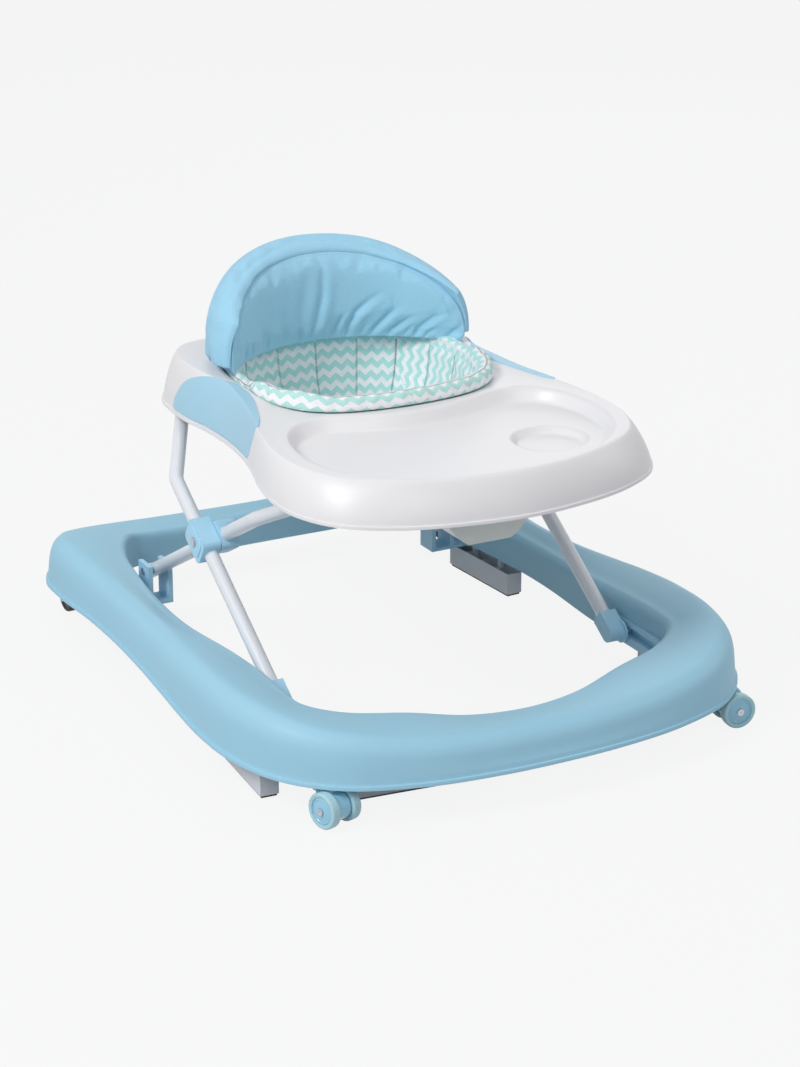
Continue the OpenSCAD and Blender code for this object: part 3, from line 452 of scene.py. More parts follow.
def finish_cloth(t, principled, colour, threads, rough, sheen, bump):
    """Threads per metre woven over the colour, with painted shade along every seam, where the pinched crease
    falls dark.
    """
    cloth = cloth_coordinates(t)
    weave = t.add("ShaderNodeGroup", inputs={"Cloth": cloth, "Threads": threads}, node_tree=WEAVE)
    seam_distance = t.add("ShaderNodeSeparateXYZ", inputs={0: cloth}).outputs[2]
    # painted shade in the seam crease: the colour falls to 0.3 of itself at a seam and rises to full over
    # SEAM_SHADE_WIDTH
    near = t.math("MINIMUM", t.math("MAXIMUM", t.math("DIVIDE", seam_distance, SEAM_SHADE_WIDTH), 0.0), 1.0)
    shade = t.times(weave.outputs["Shade"], t.plus(0.3, t.times(near, 0.7)))
    relief = t.relief(weave.outputs["Height"], bump, 0.6)
    for label, value in (("Base Color", t.shade(colour, shade)), ("Normal", relief), ("Roughness", rough),
                         ("Sheen Weight", sheen), ("Sheen Roughness", 0.4)):
        t.put(principled.inputs[label], value)


def zigzag_material(name, ground, stripe):
    """Zig-zag print: stripes along the cloth whose edges rise and fall as a triangle wave."""
    ink_scale, edge_blur = 900.0, 0.0004
    _, t, principled = new_material(name)
    cloth = cloth_coordinates(t)
    parts = t.add("ShaderNodeSeparateXYZ", inputs={0: cloth})
    slope = t.math("PINGPONG", parts.outputs[0], ZIGZAG_WAVE / 2)
    shifted = t.plus(parts.outputs[1], t.times(slope, 4 * ZIGZAG_SWING / ZIGZAG_WAVE))
    within = t.math("PINGPONG", shifted, ZIGZAG_PERIOD / 2)
    edge = t.math("DIVIDE", t.minus(within, ZIGZAG_PERIOD / 4), edge_blur)
    mask = t.add("ShaderNodeClamp", inputs={0: t.plus(edge, 0.5)}).outputs[0]
    ink = t.plus(0.85, t.times(t.noise(cloth, ink_scale, 2.0), 0.3))
    printed = t.mix(t.times(mask, ink), srgb(*ground), srgb(*stripe))
    finish_cloth(t, principled, printed, threads=900.0, rough=0.9, sheen=0.15, bump=0.00015)


hard_material("blue_shell", (161, 208, 229), 0.5, specular=0.3, subsurface=0.05)
hard_material("blue_fitting", (176, 222, 245), 0.45, specular=0.35)
hard_material("white_shell", (232, 231, 233), 0.37, grain=0.05, wear=0.2)
hard_material("inlay_blue", (166, 209, 230), 0.42)
hard_material("white_tube", (227, 230, 235), 0.3, grain=0.3, coat=0.2)
hard_material("zinc_steel", (196, 198, 202), 0.32, metallic=1.0)
hard_material("caster_blue", (154, 208, 232), 0.28, coat=0.3)
hard_material("caster_tyre", (176, 216, 226), 0.4, subsurface=0.1)
hard_material("black_rubber", (38, 38, 40), 0.65, grain=0.6)
hard_material("grey_white", (216, 220, 226), 0.4)
hard_material("milky_plastic", (238, 238, 232), 0.3, alpha=0.92, subsurface=0.3)
hard_material("dark_nylon", (70, 78, 86), 0.45)
hard_material("board_plastic", (220, 222, 226), 0.45)
cloth_material("backrest_fabric", (168, 222, 248))
hard_material("thread", (176, 214, 236), 0.7)
zigzag_material("seat_fabric", (252, 252, 254), (190, 236, 232))


def dress_cad_nodes():
    """Every CAD node gets its own material and, but for the spring, a fine bevel along its edges."""
    slots = {s["node"]: s["material_slot"] for s in frame["record"]["subparts"]}
    for name, node in frame["nodes"].items():
        node.data.materials.clear()
        node.data.materials.append(MATERIALS[slots[name]])
        if name != "latch_spring":
            bevel = node.modifiers.new("bevel", "BEVEL")
            bevel.width = 0.0005
            bevel.segments = 2
            bevel.limit_method = "ANGLE"
            bevel.angle_limit = math.radians(45)


# ---- base ring ----

RIDGE_IN = 22.0         # how far in from its outer edge the ring's ridge lies
BASE_DRAFT = 3.0        # how far the inner wall's foot stands back from the inner edge


def at_stations(stations, profile):
    """Points of each station's profile, whose rows are a distance in from the outer edge and a height."""
    a, b = stations[:, 0:2], stations[:, 2:4]
    xy = a[:, None, :] + unit(b - a)[:, None, :] * profile[:, :, 0:1]
    return np.concatenate([xy, profile[:, :, 1:2]], 2)


def widths(stations):
    """How far each station's inner edge is from its outer one."""
    return np.linalg.norm(stations[:, 2:4] - stations[:, 0:2], axis=1)


def profile_of(count, *pairs):
    """Profiles from pairs of distance in and height, each one number or a value per station."""
    columns = [np.stack([np.broadcast_to(v, (count,)) for v in values], 1) for values in zip(*pairs)]
    return np.stack(columns, 2).astype(float)


def smooth_profile(points, steps):
    """Catmull-Rom along the profile, for every station at once."""
    n, m, size = points.shape
    flat = points.transpose(1, 0, 2).reshape(m, -1)
    return smooth_run(flat, steps, closed=False).reshape(-1, n, size).transpose(1, 0, 2)


def make_base_ring():
    """Loft round the ring: lip, outer wall, shoulder, ridge, inner edge and wall, and back underneath."""
    s = smooth_run(both_sides(BASE_ROWS, [0, 2]), 8)
    n = len(s)
    w = widths(s)
    ridge, edge, low, t = s[:, 4], s[:, 5], RIM_Z, WALL
    middle = (ridge + edge) / 2 + 1.5
    lip = profile_of(n, (-2.5, low), (-2.5, low + 3.4), (-2.1, low + 4), (-0.4, low + 4.3), (0, low + 5.2))
    outside = profile_of(
        n, (0.2, low + 8), (2.5, ridge - 24), (6, ridge - 12), (12, ridge - 4.5), (RIDGE_IN, ridge),
        (w * 0.55, middle), (w - 14, edge + 0.5), (w - 5, edge - 1.5), (w - 0.5, edge - 8),
        (w - 1.5, edge - 22), (w - BASE_DRAFT, low))
    inside = profile_of(
        n, (w - BASE_DRAFT - t, low), (w - 3 - t, edge - 10), (w - 7, edge - 1.5 - t),
        (w - 14, edge + 0.5 - t), (w * 0.55, middle - t), (RIDGE_IN, ridge - t),
        (8 + t, ridge - 10 - t), (3 + t, ridge - 24), (t, low))
    points = at_stations(s, np.concatenate([lip, smooth_profile(outside, 6), inside], 1))
    faces = grid_faces(n, points.shape[1], True, True)
    piece = new_object("base_ring", points, faces, "base", "blue_shell", 40)
    clear_slide_tracks(piece)
    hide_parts("base_shell")


def clear_slide_tracks(ring):
    """Takes the room of each slide track, and a little more, out of the ring."""
    low, high = (np.array(corner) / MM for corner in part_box("right_slide_track"))
    before, beyond, clear = 12, 3, 0.3
    windows = []
    for side in (-1, 1):
        x = sorted((side * (low[0] - before), side * (high[0] + beyond)))
        windows.append(box_solid((x[0], low[1] - clear, RIM_Z - 1), (x[1], high[1] + clear, high[2] + clear)))
    cut(ring, windows)


# ---- tray body ----

WALL_FOOT_Z = LIP_Z + 4     # the foot of the tray's rounded wall
TRAY_TOP_ROWS = 120         # rows of points across the tray's top
OPENING_EDGE = 9.0          # the tray's top ends this far short of its opening
SKIRT_TALL = 34.0           # how far the opening's skirt hangs below the top's inner edge


def inside_distance(points, outline):
    """Distance of each point to a closed outline, positive inside."""
    x, y = points.T
    nearest = np.full(len(x), np.inf)
    inside = np.zeros(len(x), bool)
    for (ax, ay), (bx, by) in zip(outline, np.roll(outline, -1, 0)):
        dx, dy = bx - ax, by - ay
        t = np.clip(((x - ax) * dx + (y - ay) * dy) / (dx * dx + dy * dy), 0, 1)
        nearest = np.minimum(nearest, np.hypot(x - ax - t * dx, y - ay - t * dy))
        if dy != 0:
            inside ^= ((ay > y) != (by > y)) & (x < dx * (y - ay) / dy + ax)
    return np.where(inside, nearest, -nearest)


def bow(angles):
    """Share of the way in and up of the tray's rounded wall at these angles in degrees."""
    a = np.radians(angles)
    return 1 - np.cos(a) ** 1.5, np.sin(a) ** 1.5


def tray_stations(steps):
    """Rows all round the tray, so many to each of TRAY_ROWS."""
    return smooth_run(both_sides(TRAY_ROWS, [0, 2]), steps)


def make_tray():
    """Loft from the lip over the rounded wall and the top to the opening's skirt, and back underneath."""
    s = tray_stations(14)
    n = len(s)
    w = widths(s)
    ridge, edge, inset, low, t = s[:, 4], s[:, 5], s[:, 6], LIP_Z, WALL
    lip = profile_of(n, (-2, low), (-2, low + 2.6), (-1.7, low + 3.2), (-0.3, low + 3.5), (0, low + 4.2))
    share_in, share_z = bow(np.array([8, 15, 22, 30, 38, 46, 54, 62, 70, 78, 84, 90]))
    wall_z = WALL_FOOT_Z + (ridge - WALL_FOOT_Z)[:, None] * share_z
    wall = np.stack([inset[:, None] * share_in, wall_z], 2)
    f = np.linspace(0, 1, TRAY_TOP_ROWS + 1)[None, 1:]
    top = np.stack([inset[:, None] + (w - OPENING_EDGE - inset)[:, None] * f,
                    ridge[:, None] + (edge - ridge)[:, None] * smoothstep(f)], 2)
    skirt = profile_of(
        n, (w - 5, edge - 0.6), (w - 2, edge - 2.2), (w - 0.5, edge - 4.5), (w, edge - 8), (w, edge - 20),
        (w, edge - SKIRT_TALL), (w - t, edge - SKIRT_TALL), (w - t, edge - 12))
    foot = profile_of(n, (inset * 0.5 + t, low + 0.5 * (ridge - low)), (t, low))
    lip, wall, top, skirt, foot = (at_stations(s, part) for part in (lip, wall, top, skirt, foot))
    top = press_dish(top)
    under = top[:, ::-3] - np.array([0, 0, t])
    points = np.concatenate([lip, wall, top, skirt, under, foot], 1)
    faces = grid_faces(n, points.shape[1], True, True)
    piece = new_object("tray", points, faces, "tray", "white_shell", 50)
    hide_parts("tray_shell")


def press_dish(points):
    """The tray's top with the dish sunk in its outline, a soft bead round it, and the cup sunk deeper."""
    dish_slope, cup_slope = 11, 7
    bead_tall, bead_out, bead_wide = 0.8, 5, 4.5
    flat = points.reshape(-1, 3).copy()
    depth_at = inside_distance(flat[:, :2], smooth_run(both_sides(DISH_HALF, [0]), 8))
    sunk = smoothstep((depth_at + 1) / dish_slope)
    flat[:, 2] = flat[:, 2] * (1 - sunk) + DISH_FLOOR_Z * sunk
    flat[:, 2] += bead_tall * np.exp(-((depth_at + bead_out) / bead_wide) ** 2)
    from_cup = np.hypot(flat[:, 0] - CUP_PLACE[0], flat[:, 1] - CUP_PLACE[1])
    flat[:, 2] -= smoothstep((CUP_R + 1 - from_cup) / cup_slope) * (DISH_FLOOR_Z - CUP_FLOOR_Z)
    return flat.reshape(points.shape)


# places along the tray's side, counted in TRAY_ROWS, and how far over it the inlay starts and ends there:
# 0 is the wall's foot, 1 its ridge, and every further 1 is PAST_RIDGE along the top
INLAY_STATIONS = [6.12, 6.25, 6.5, 6.83, 6.95, 7.5, 7.92, 8.75, 9.33, 9.92, 10.42, 10.67, 10.83, 10.92]
INLAY_START = [1.2, 0.98, 0.6, 0.28, 0.06] + 7 * [0.03] + [0.05, 0.1]
INLAY_END = [1.42, 1.53, 1.64, 1.64, 1.62, 1.45, 1.29, 1.08, 0.95, 0.8, 0.64, 0.5, 0.33, 0.16]
PAST_RIDGE = 60.0
INLAY_OUT, INLAY_IN, INLAY_HEM = 1.4, -0.5, 0.1     # its two faces and its hem, out from the tray's surface


def make_inlay(side):
    """Skin over the side of the tray: stations along it, and points over it from its start to its end."""
    steps, along_count, over_count = 12, 97, 33
    s = tray_stations(steps)
    place = np.linspace(INLAY_STATIONS[0], INLAY_STATIONS[-1], along_count) * steps
    index = np.floor(place).astype(int)
    part = (place - index)[:, None]
    rows = s[index] * (1 - part) + s[index + 1] * part
    blur = np.ones(5) / 5
    start, end = (np.interp(place / steps, INLAY_STATIONS, values) for values in (INLAY_START, INLAY_END))
    start, end = (np.convolve(np.pad(values, 2, "edge"), blur, "valid") for values in (start, end))
    f = np.linspace(0, 1, over_count)[None, :]
    share = start[:, None] + (end - start)[:, None] * f
    share_in, share_z = bow(np.minimum(share, 1) * 90)
    lean = np.radians(np.minimum(15 + 75 * share, 90))
    ridge, edge, inset = rows[:, 4:5], rows[:, 5:6], rows[:, 6:7]
    past = PAST_RIDGE * np.maximum(share - 1, 0)
    level = ridge + (edge - ridge) * smoothstep(past / (widths(rows)[:, None] - OPENING_EDGE - inset))
    z = np.where(share < 1, WALL_FOOT_Z + (ridge - WALL_FOOT_Z) * share_z, level)

    def off_the_hem(run):
        return np.minimum(np.minimum(run, 1 - run) * run.size, 1)

    whole = smoothstep(off_the_hem(f) * off_the_hem(np.linspace(0, 1, along_count)[:, None]))

    def skin(off):
        out = INLAY_HEM + (off - INLAY_HEM) * whole
        return at_stations(rows, np.stack([inset * share_in + past - out * np.cos(lean),
                                           z + out * np.sin(lean)], 2))

    loop = np.concatenate([skin(INLAY_OUT), skin(INLAY_IN)[:, ::-1]], 1)
    if side < 0:
        loop = loop * np.array([-1, 1, 1])
    name = "left" if side < 0 else "right"
    faces = capped_faces(*loop.shape[:2])
    piece = new_object(f"{name}_side_inlay", loop, faces, "tray", "inlay_blue", 50)
    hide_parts(f"{name}_inlay")


# ---- tube frames ----

def rounded_path(path, bend, steps=10):
    """Points along a flat path whose corners are arcs of the bend radius."""
    path = [np.array(p, float) for p in path]
    points = [path[0]]
    for a, b, c in zip(path, path[1:], path[2:]):
        d, g = (b - a) / np.linalg.norm(b - a), (c - b) / np.linalg.norm(c - b)
        turn = math.acos(np.clip(d @ g, -1, 1))
        cut_off = bend * math.tan(turn / 2)
        normal = np.array([-d[1], d[0]]) * np.sign(d[0] * g[1] - d[1] * g[0])
        centre = b - d * cut_off + normal * bend
        for k in range(steps + 1):
            angle = turn * k / steps
            points.append(centre - normal * bend * math.cos(angle) + d * bend * math.sin(angle))
    points.append(path[-1])
    return np.array(points)


def tube_mesh(points, r, sides=28):
    """Rings of radius r square to a flat path, with closed ends."""
    tangent = unit(np.gradient(points, axis=0))
    a = np.arange(sides) * 2 * math.pi / sides
    across = np.stack([-tangent[:, 1], tangent[:, 0]], 1)
    xy = points[:, None, :] + across[:, None, :] * (r * np.cos(a))[None, :, None]
    z = np.broadcast_to(r * np.sin(a), (len(points), sides))
    verts = np.concatenate([xy, z[:, :, None]], 2).reshape(-1, 3)
    return verts, capped_faces(len(points), sides)


def in_plane(verts, origin, angle):
    """The flat frame's points turned up by the angle about X at the origin."""
    c, s = math.cos(math.radians(angle)), math.sin(math.radians(angle))
    y, z = verts[:, 1], verts[:, 2]
    return np.stack([verts[:, 0], origin[0] + c * y - s * z, origin[1] + s * y + c * z], 1)


def make_leg_frame(which, origin, angle, x, start, knee, top, bar_x):
    """A U-shaped tube in its own sloping plane: legs at x from start to knee, then in to its bar at top."""
    path = [(x, start), (x, knee), (bar_x, top), (-bar_x, top), (-x, knee), (-x, start)]
    flat, faces = tube_mesh(rounded_path(path, TUBE_BEND), TUBE_R)
    verts = in_plane(flat, origin, angle)
    piece = new_object(f"{which}_tube", verts, faces, f"{which}_legs", "white_tube", 50)
    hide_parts(f"{which}_leg_frame")


def make_leg_frames():
    """The two frames, crossing at the hinge that is half-way up both."""
    hinge_y, hinge_z, arm = 33.0, 166.0, 208.6
    outer_slope, inner_slope = 33.0, 28.6
    reach = arm * math.cos(math.radians(outer_slope))
    inner_arm = reach / math.cos(math.radians(inner_slope))
    foot = (hinge_y - reach, hinge_z - arm * math.sin(math.radians(outer_slope)))
    heel = (hinge_y + reach, hinge_z - inner_arm * math.sin(math.radians(inner_slope)))
    make_leg_frame("outer", foot, outer_slope, 193.0, 8.0, 290.0, 2 * arm, 133.0)
    make_leg_frame("inner", heel, 180 - inner_slope, 175.0, -10.0, 300.0, 2 * inner_arm, 122.0)


def make_latch_spring():
    """Round wire on a helix from the latch housing up to the pawl's grip."""
    wire, turns, steps, sides = 0.6, 4, 24, 8
    low, high = (np.array(corner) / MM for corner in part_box("latch_spring"))
    coil_r = (high[0] - low[0]) / 2 - wire
    x, y = (low[:2] + high[:2]) / 2
    a = np.linspace(0, 2 * math.pi * turns, turns * steps + 1)[:, None]
    b = (np.arange(sides) * 2 * math.pi / sides)[None, :]
    reach = coil_r + wire * np.cos(b)
    rise = low[2] + wire + (high[2] - low[2] - 2 * wire) * a / a[-1]
    verts = np.stack([x + reach * np.cos(a), y + reach * np.sin(a), rise + wire * np.sin(b)], 2)
    piece = new_object("coil_spring", verts, capped_faces(len(a), sides), None, "zinc_steel", 50)
    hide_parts("latch_spring")
    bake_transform(piece)


# ---- backrest ----

EDGE_R = 9.0                # rounding between the pad's faces and its edge band
PAD_STRETCH = 1.022         # how much taller the pad is drawn than its arch
LEAST_FRONT = 66.0          # the pad's front comes no nearer than this to the axis of its curve
SEAM_LIFT = 0.4             # least height of the seam, as a share of the arch's at the same station
ARCH_STATIONS, ARCH_END = 241, 0.02     # stations along the arch, and the angle of its first
# rows round each station: up the face, round an edge, across the band, down the rear, forward under the foot
FACE_ROWS, EDGE_ROWS, BAND_ROWS, REAR_ROWS, FOOT_ROWS = 71, 8, 14, 30, 11

# folds of the face cloth: depth, width, and points from the lower edge upwards as (x, height)
FOLDS = [
    (3.8, 5.0, [(-9, 4), (-2, 26), (4, 48), (7, 79), (3, 98)]),
    (2.3, 8.0, [(-26, 4), (-20, 40), (-14, 70), (-10, 92)]),
    (2.0, 4.0, [(-22, 4), (-20, 16), (-15, 26)]),
    (2.3, 7.0, [(-44, 4), (-46, 30), (-42, 60)]),
    (1.7, 9.0, [(-74, 6), (-80, 34), (-72, 62)]),
    (3.2, 3.2, [(19, 4), (22, 12), (28, 24), (38, 36)]),
    (4.1, 3.6, [(35, 4), (36, 17), (44, 30), (60, 44), (78, 56)]),
    (3.5, 3.0, [(61, 3), (65, 12), (77, 26), (92, 44)]),
    (3.5, 2.6, [(78, 3), (80, 8), (90, 18), (106, 34)]),
    (3.8, 2.4, [(100, 1), (102, 11), (111, 24), (125, 36)]),
    (2.3, 2.0, [(107, 1), (108, 8), (115, 16)]),
    (3.8, 2.2, [(121, 0), (123, 8), (129, 24)]),
    (1.7, 2.2, [(50, 3), (53, 12), (60, 22)]),
    (1.4, 1.8, [(92, 2), (94, 10), (99, 18)]),
    (2.0, 2.6, [(-100, 2), (-104, 14), (-110, 26)]),
    (1.7, 2.4, [(-88, 3), (-92, 14), (-96, 24)]),
    (1.7, 2.2, [(-64, 3), (-66, 12), (-69, 22)]),
]


def arch_share(a):
    """Height of the arch at an angle round it, as a share of its top's."""
    return np.abs(np.sin(a)) ** 0.6


def fold_depth(x, z):
    """Depth of the folds: each a valley along its line with a softer ridge beside it, fading to both ends."""
    ridge_tall, ridge_beside, ridge_wide = 0.55, 1.9, 1.3
    total = np.zeros_like(x)
    for depth, wide, points in FOLDS:
        lengths = [math.dist(a, b) for a, b in zip(points, points[1:])]
        done = 0.0
        nearest = np.full_like(x, np.inf)
        side = np.zeros_like(x)
        share = np.zeros_like(x)
        for (ax, az), (bx, bz), length in zip(points, points[1:], lengths):
            dx, dz = (bx - ax) / length, (bz - az) / length
            run = np.clip((x - ax) * dx + (z - az) * dz, 0, length)
            gap = np.hypot(x - ax - dx * run, z - az - dz * run)
            closer = gap < nearest
            nearest = np.where(closer, gap, nearest)
            side = np.where(closer, (x - ax) * dz - (z - az) * dx, side)
            share = np.where(closer, (done + run) / sum(lengths), share)
            done += length
        fade = smoothstep((1 - share) / 0.7) * (0.45 + 0.55 * smoothstep(share / 0.12))
        signed = np.where(side < 0, -nearest, nearest)
        beside = (signed - ridge_beside * wide) / (ridge_wide * wide)
        total += depth * fade * (np.exp(-(signed / wide) ** 2) - ridge_tall * np.exp(-beside ** 2))
    return total


def pad_front(x):
    """How far back the pad's front is: round an upright cylinder, and square across near its ends."""
    return BACK_CENTRE_Y + np.sqrt(np.maximum(BACK_R_IN ** 2 - x ** 2, LEAST_FRONT ** 2))


def pad_rear(x, z):
    """How far back the pad's rear is, with its low corners tucked forward and the left one most."""
    tuck, right_share, corner_tall = 20.0, 0.3, 42
    corner = smoothstep((np.abs(x) - BACK_HALF_W + EDGE_R) / EDGE_R) * (1 - smoothstep(z / corner_tall))
    tucked = tuck * corner * np.where(x < 0, 1.0, right_share)
    return BACK_CENTRE_Y + np.sqrt(BACK_R_OUT ** 2 - x ** 2) - tucked


def pad_face(seam_x, seam_z):
    """The pad's front, puffed between its foot and its seam, folded, and pinched in along the seam."""
    puff_out, pinch_in, pinch_wide = 6.0, 0.9, 2.2
    up = np.linspace(0, 1, FACE_ROWS)[None, :]
    x, z = seam_x * np.ones_like(up), seam_z * up
    puff = puff_out * (1 - (2 * up - 1) ** 4) * smoothstep(seam_z / 50)
    pinch = pinch_in * np.exp(-((1 - up) * seam_z / pinch_wide) ** 2)
    from_ends = smoothstep((BACK_HALF_W - np.abs(x)) / 14)
    return np.stack([x, pad_front(x) + (fold_depth(x, z) - puff) * from_ends + pinch, z], 2)


def pad_loop():
    """Points round the pad at stations along its arch, in the order of its rows, heights from its foot."""
    crown, ripple_out, rear_out = 2.6, 0.5, 2.5
    a = np.linspace(ARCH_END, math.pi - ARCH_END, ARCH_STATIONS)
    x, tall = BACK_HALF_W * np.cos(a), BACK_TALL * arch_share(a)
    step = unit(np.stack([np.gradient(x), np.gradient(tall)], 1))
    x, tall, out_x, out_z = x[:, None], tall[:, None], step[:, 1:2], -step[:, 0:1]
    seam_x, seam_z = x - EDGE_R * out_x, np.maximum(tall - EDGE_R * out_z, SEAM_LIFT * tall)
    face = pad_face(seam_x, seam_z)
    turn = np.linspace(0, math.pi / 2, EDGE_ROWS + 1)[None, 1:]
    short = EDGE_R * (1 - np.sin(turn))
    least = tall * (SEAM_LIFT + (1 - SEAM_LIFT) * np.sin(turn))
    edge = np.stack([x - out_x * short, pad_front(x) + EDGE_R * (1 - np.cos(turn)),
                     np.maximum(tall - out_z * short, least)], 2)
    over = np.linspace(0, 1, BAND_ROWS + 1)[None, 1:]
    ripple = ripple_out * np.sin(np.linspace(0, 92, ARCH_STATIONS))[:, None] * (x < 0)
    out = (crown + ripple) * np.sin(math.pi * over)
    band_from, band_to = pad_front(x) + EDGE_R, pad_rear(x, tall) - EDGE_R
    band = np.stack([x + out_x * out, band_from + (band_to - band_from) * over, tall + out_z * out], 2)
    back_edge = edge[:, ::-1].copy()
    back_edge[:, :, 1] = pad_rear(x, tall) - EDGE_R * (1 - np.cos(turn))[:, ::-1]
    down = np.linspace(1, 0, REAR_ROWS + 1)[None, 1:]
    rear_x, rear_z = seam_x * np.ones_like(down), seam_z * down
    rear = np.stack([rear_x, pad_rear(rear_x, rear_z) + rear_out * np.sin(math.pi * down) ** 0.6, rear_z], 2)
    forward = np.linspace(0, 1, FOOT_ROWS + 2)[None, 1:-1, None]
    foot = rear[:, -1:] + (face[:, :1] - rear[:, -1:]) * forward
    return np.concatenate([face, edge, band, back_edge, rear, foot], 1)


def push_ends_out(loop):
    """Moves the pad's low ends outwards, the right one further, and both less along the foot."""
    low_down = 1 - smoothstep((loop[:, :, 2] - 15) / 95)
    at_foot = 1 - smoothstep(loop[:, :, 2] / 9)
    for side, push, foot_share in ((1, 9.5, 0.45), (-1, 4.0, 1.0)):
        near_end = smoothstep((side * loop[:, :, 0] - 92) / 42)
        loop[:, :, 0] += side * push * near_end * (low_down - foot_share * at_foot)


def pad_cloth(loop):
    """Cloth coordinates of the pad's points: along its arch, across it, and the distance to its two seams."""
    seam_shade_offset = 0.8       # keeps the painted seam shade from going quite dark
    across = length_across(loop)
    seams = across[:, [FACE_ROWS - 1, FACE_ROWS - 1 + 2 * EDGE_ROWS + BAND_ROWS]]
    to_seam = np.abs(across[:, :, None] - seams[:, None, :]).min(2)
    along = np.repeat(arc_length(loop[:, FACE_ROWS - 1])[:, None], loop.shape[1], 1)
    return np.stack([along, across, to_seam + seam_shade_offset], 2).reshape(-1, 3)


def make_backrest():
    """Arched pad bent round an upright cylinder, swollen everywhere but at its foot and its rear."""
    loop = pad_loop()
    push_ends_out(loop)
    loop[:, :, 2] = loop[:, :, 2] * PAD_STRETCH + BACK_FOOT_Z
    faces = capped_faces(*loop.shape[:2])
    piece = new_object("backrest_pad", loop, faces, "tray", "backrest_fabric", 70)
    set_attribute(piece, "cloth", pad_cloth(loop) * MM)
    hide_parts("backrest_cushion")
    held_below, held_beyond = (BACK_FOOT_Z + 6.0) * MM, (BACK_R_OUT - 3.75) * MM

    def held(at):
        from_axis = np.hypot(at[:, 0], at[:, 1] - BACK_CENTRE_Y * MM)
        return (at[:, 2] < held_below) | (from_axis > held_beyond)

    swell(piece, voxel=0.005, pressure=4.0, cap=0.004, held=held)
    sew_backrest(piece)


def sew_backrest(pad):
    """Top stitching a little inside the face's seam, dropped from the pad's axis onto its face."""
    surface = BVHTree.FromObject(pad, bpy.context.evaluated_depsgraph_get())
    points, normals = [], []
    inside = EDGE_R + 4.0
    for a in np.linspace(0.12, math.pi - 0.12, 300):
        x = (BACK_HALF_W - inside) * math.cos(a)
        z = BACK_FOOT_Z + (BACK_TALL - inside) * arch_share(a)
        place, normal, _, _ = surface.ray_cast(Vector((x, BACK_CENTRE_Y, z)) * MM, Vector((0, 1, 0)))
        points.append(place / MM)
        normals.append(normal)
    stitch_row("backrest_stitches", np.array(points), np.array(normals), 4.2, 2.8, "tray", "backrest_fabric")


def stitch_row(name, points, normals, spacing, length, body, slot):
    """Short thread dashes along a line of points, each a thin six-sided bead on the cloth."""
    sides, lift = 6, 0.15
    rings = ((-0.5, 0.12), (-0.3, 0.42), (0.3, 0.42), (0.5, 0.12))      # share of the length, and radius
    arc = arc_length(points)
    centres = np.arange(spacing / 2, arc[-1], spacing)

    def sampled(values, places):
        return np.stack([np.interp(places, arc, values[:, k]) for k in range(3)], 1)

    along = unit(sampled(points, centres + 0.5) - sampled(points, centres - 0.5))
    up = unit(sampled(normals, centres))
    across = np.cross(along, up)
    verts, faces = [], []
    for middle, t, u, s in zip(sampled(points, centres), along, up, across):
        first = len(verts)
        for share, r in rings:
            for angle in (2 * math.pi * k / sides for k in range(sides)):
                spoke = (u * math.sin(angle) + s * math.cos(angle)) * r
                verts.append(middle + t * length * share + spoke + u * lift)
        faces += [tuple(first + k for k in face) for face in capped_faces(len(rings), sides)]
    new_object(name, verts, faces, body, slot, material="thread")


# ---- seat ----

SEAT_MIDDLE = np.array([0.0, 75.0])
SEAT_FLOOR_Z = TRAY_TOP - 112
LEG_HOLE_X, LEG_HOLE_Y, LEG_HOLE_R = 49.0, 45.0, 35.0
LEG_HOLE_LOW, LEG_HOLE_HIGH = SEAT_FLOOR_Z - 20, TRAY_TOP - 86
SEAM_PITCH = 49.0
FIRST_SEAM = 10.0       # how far right of the rear middle the first seam lies
BORDER_FOLD = 18.0      # how far short of the inside the border's fold line lies
SIDE_PANEL_X = 94.0     # the panels of the inside from here outwards have their print turned a quarter
# the bowl's outside: share of the opening's size, and height above its floor
OUTER_BOWL = [(0.02, 0), (0.25, 0), (0.5, 0), (0.62, 1), (0.69, 5), (0.73, 12), (0.79, 24), (0.86, 38),
              (0.92, 50), (0.965, 64), (0.985, 78)]
# the padded border: distance out from the opening's edge, and height above it
BORDER = [(-1.0, -1.0), (2.0, 0.9), (6.5, 0.9), (8.6, 2.2), (9.6, 5.0), (9.2, 8.0), (8.6, 8.6), (8.6, 9.4),
          (7.4, 12.4), (4.6, 14.8), (0.8, 15.6), (-3.4, 14.4), (-6.6, 11.0), (-8.5, 5.0)]
# the bowl's inside: share of the opening's size, and depth below the tray's top
INNER_BOWL = [(1.0, 4), (1.0, 9), (1.0, 15), (0.995, 22), (0.985, 30), (0.97, 38), (0.955, 46), (0.93, 54),
              (0.9, 62), (0.87, 70), (0.83, 78), (0.79, 86), (0.74, 93), (0.69, 98), (0.62, 101),
              (0.5, 102.5), (0.35, 103), (0.2, 103), (0.02, 103)]


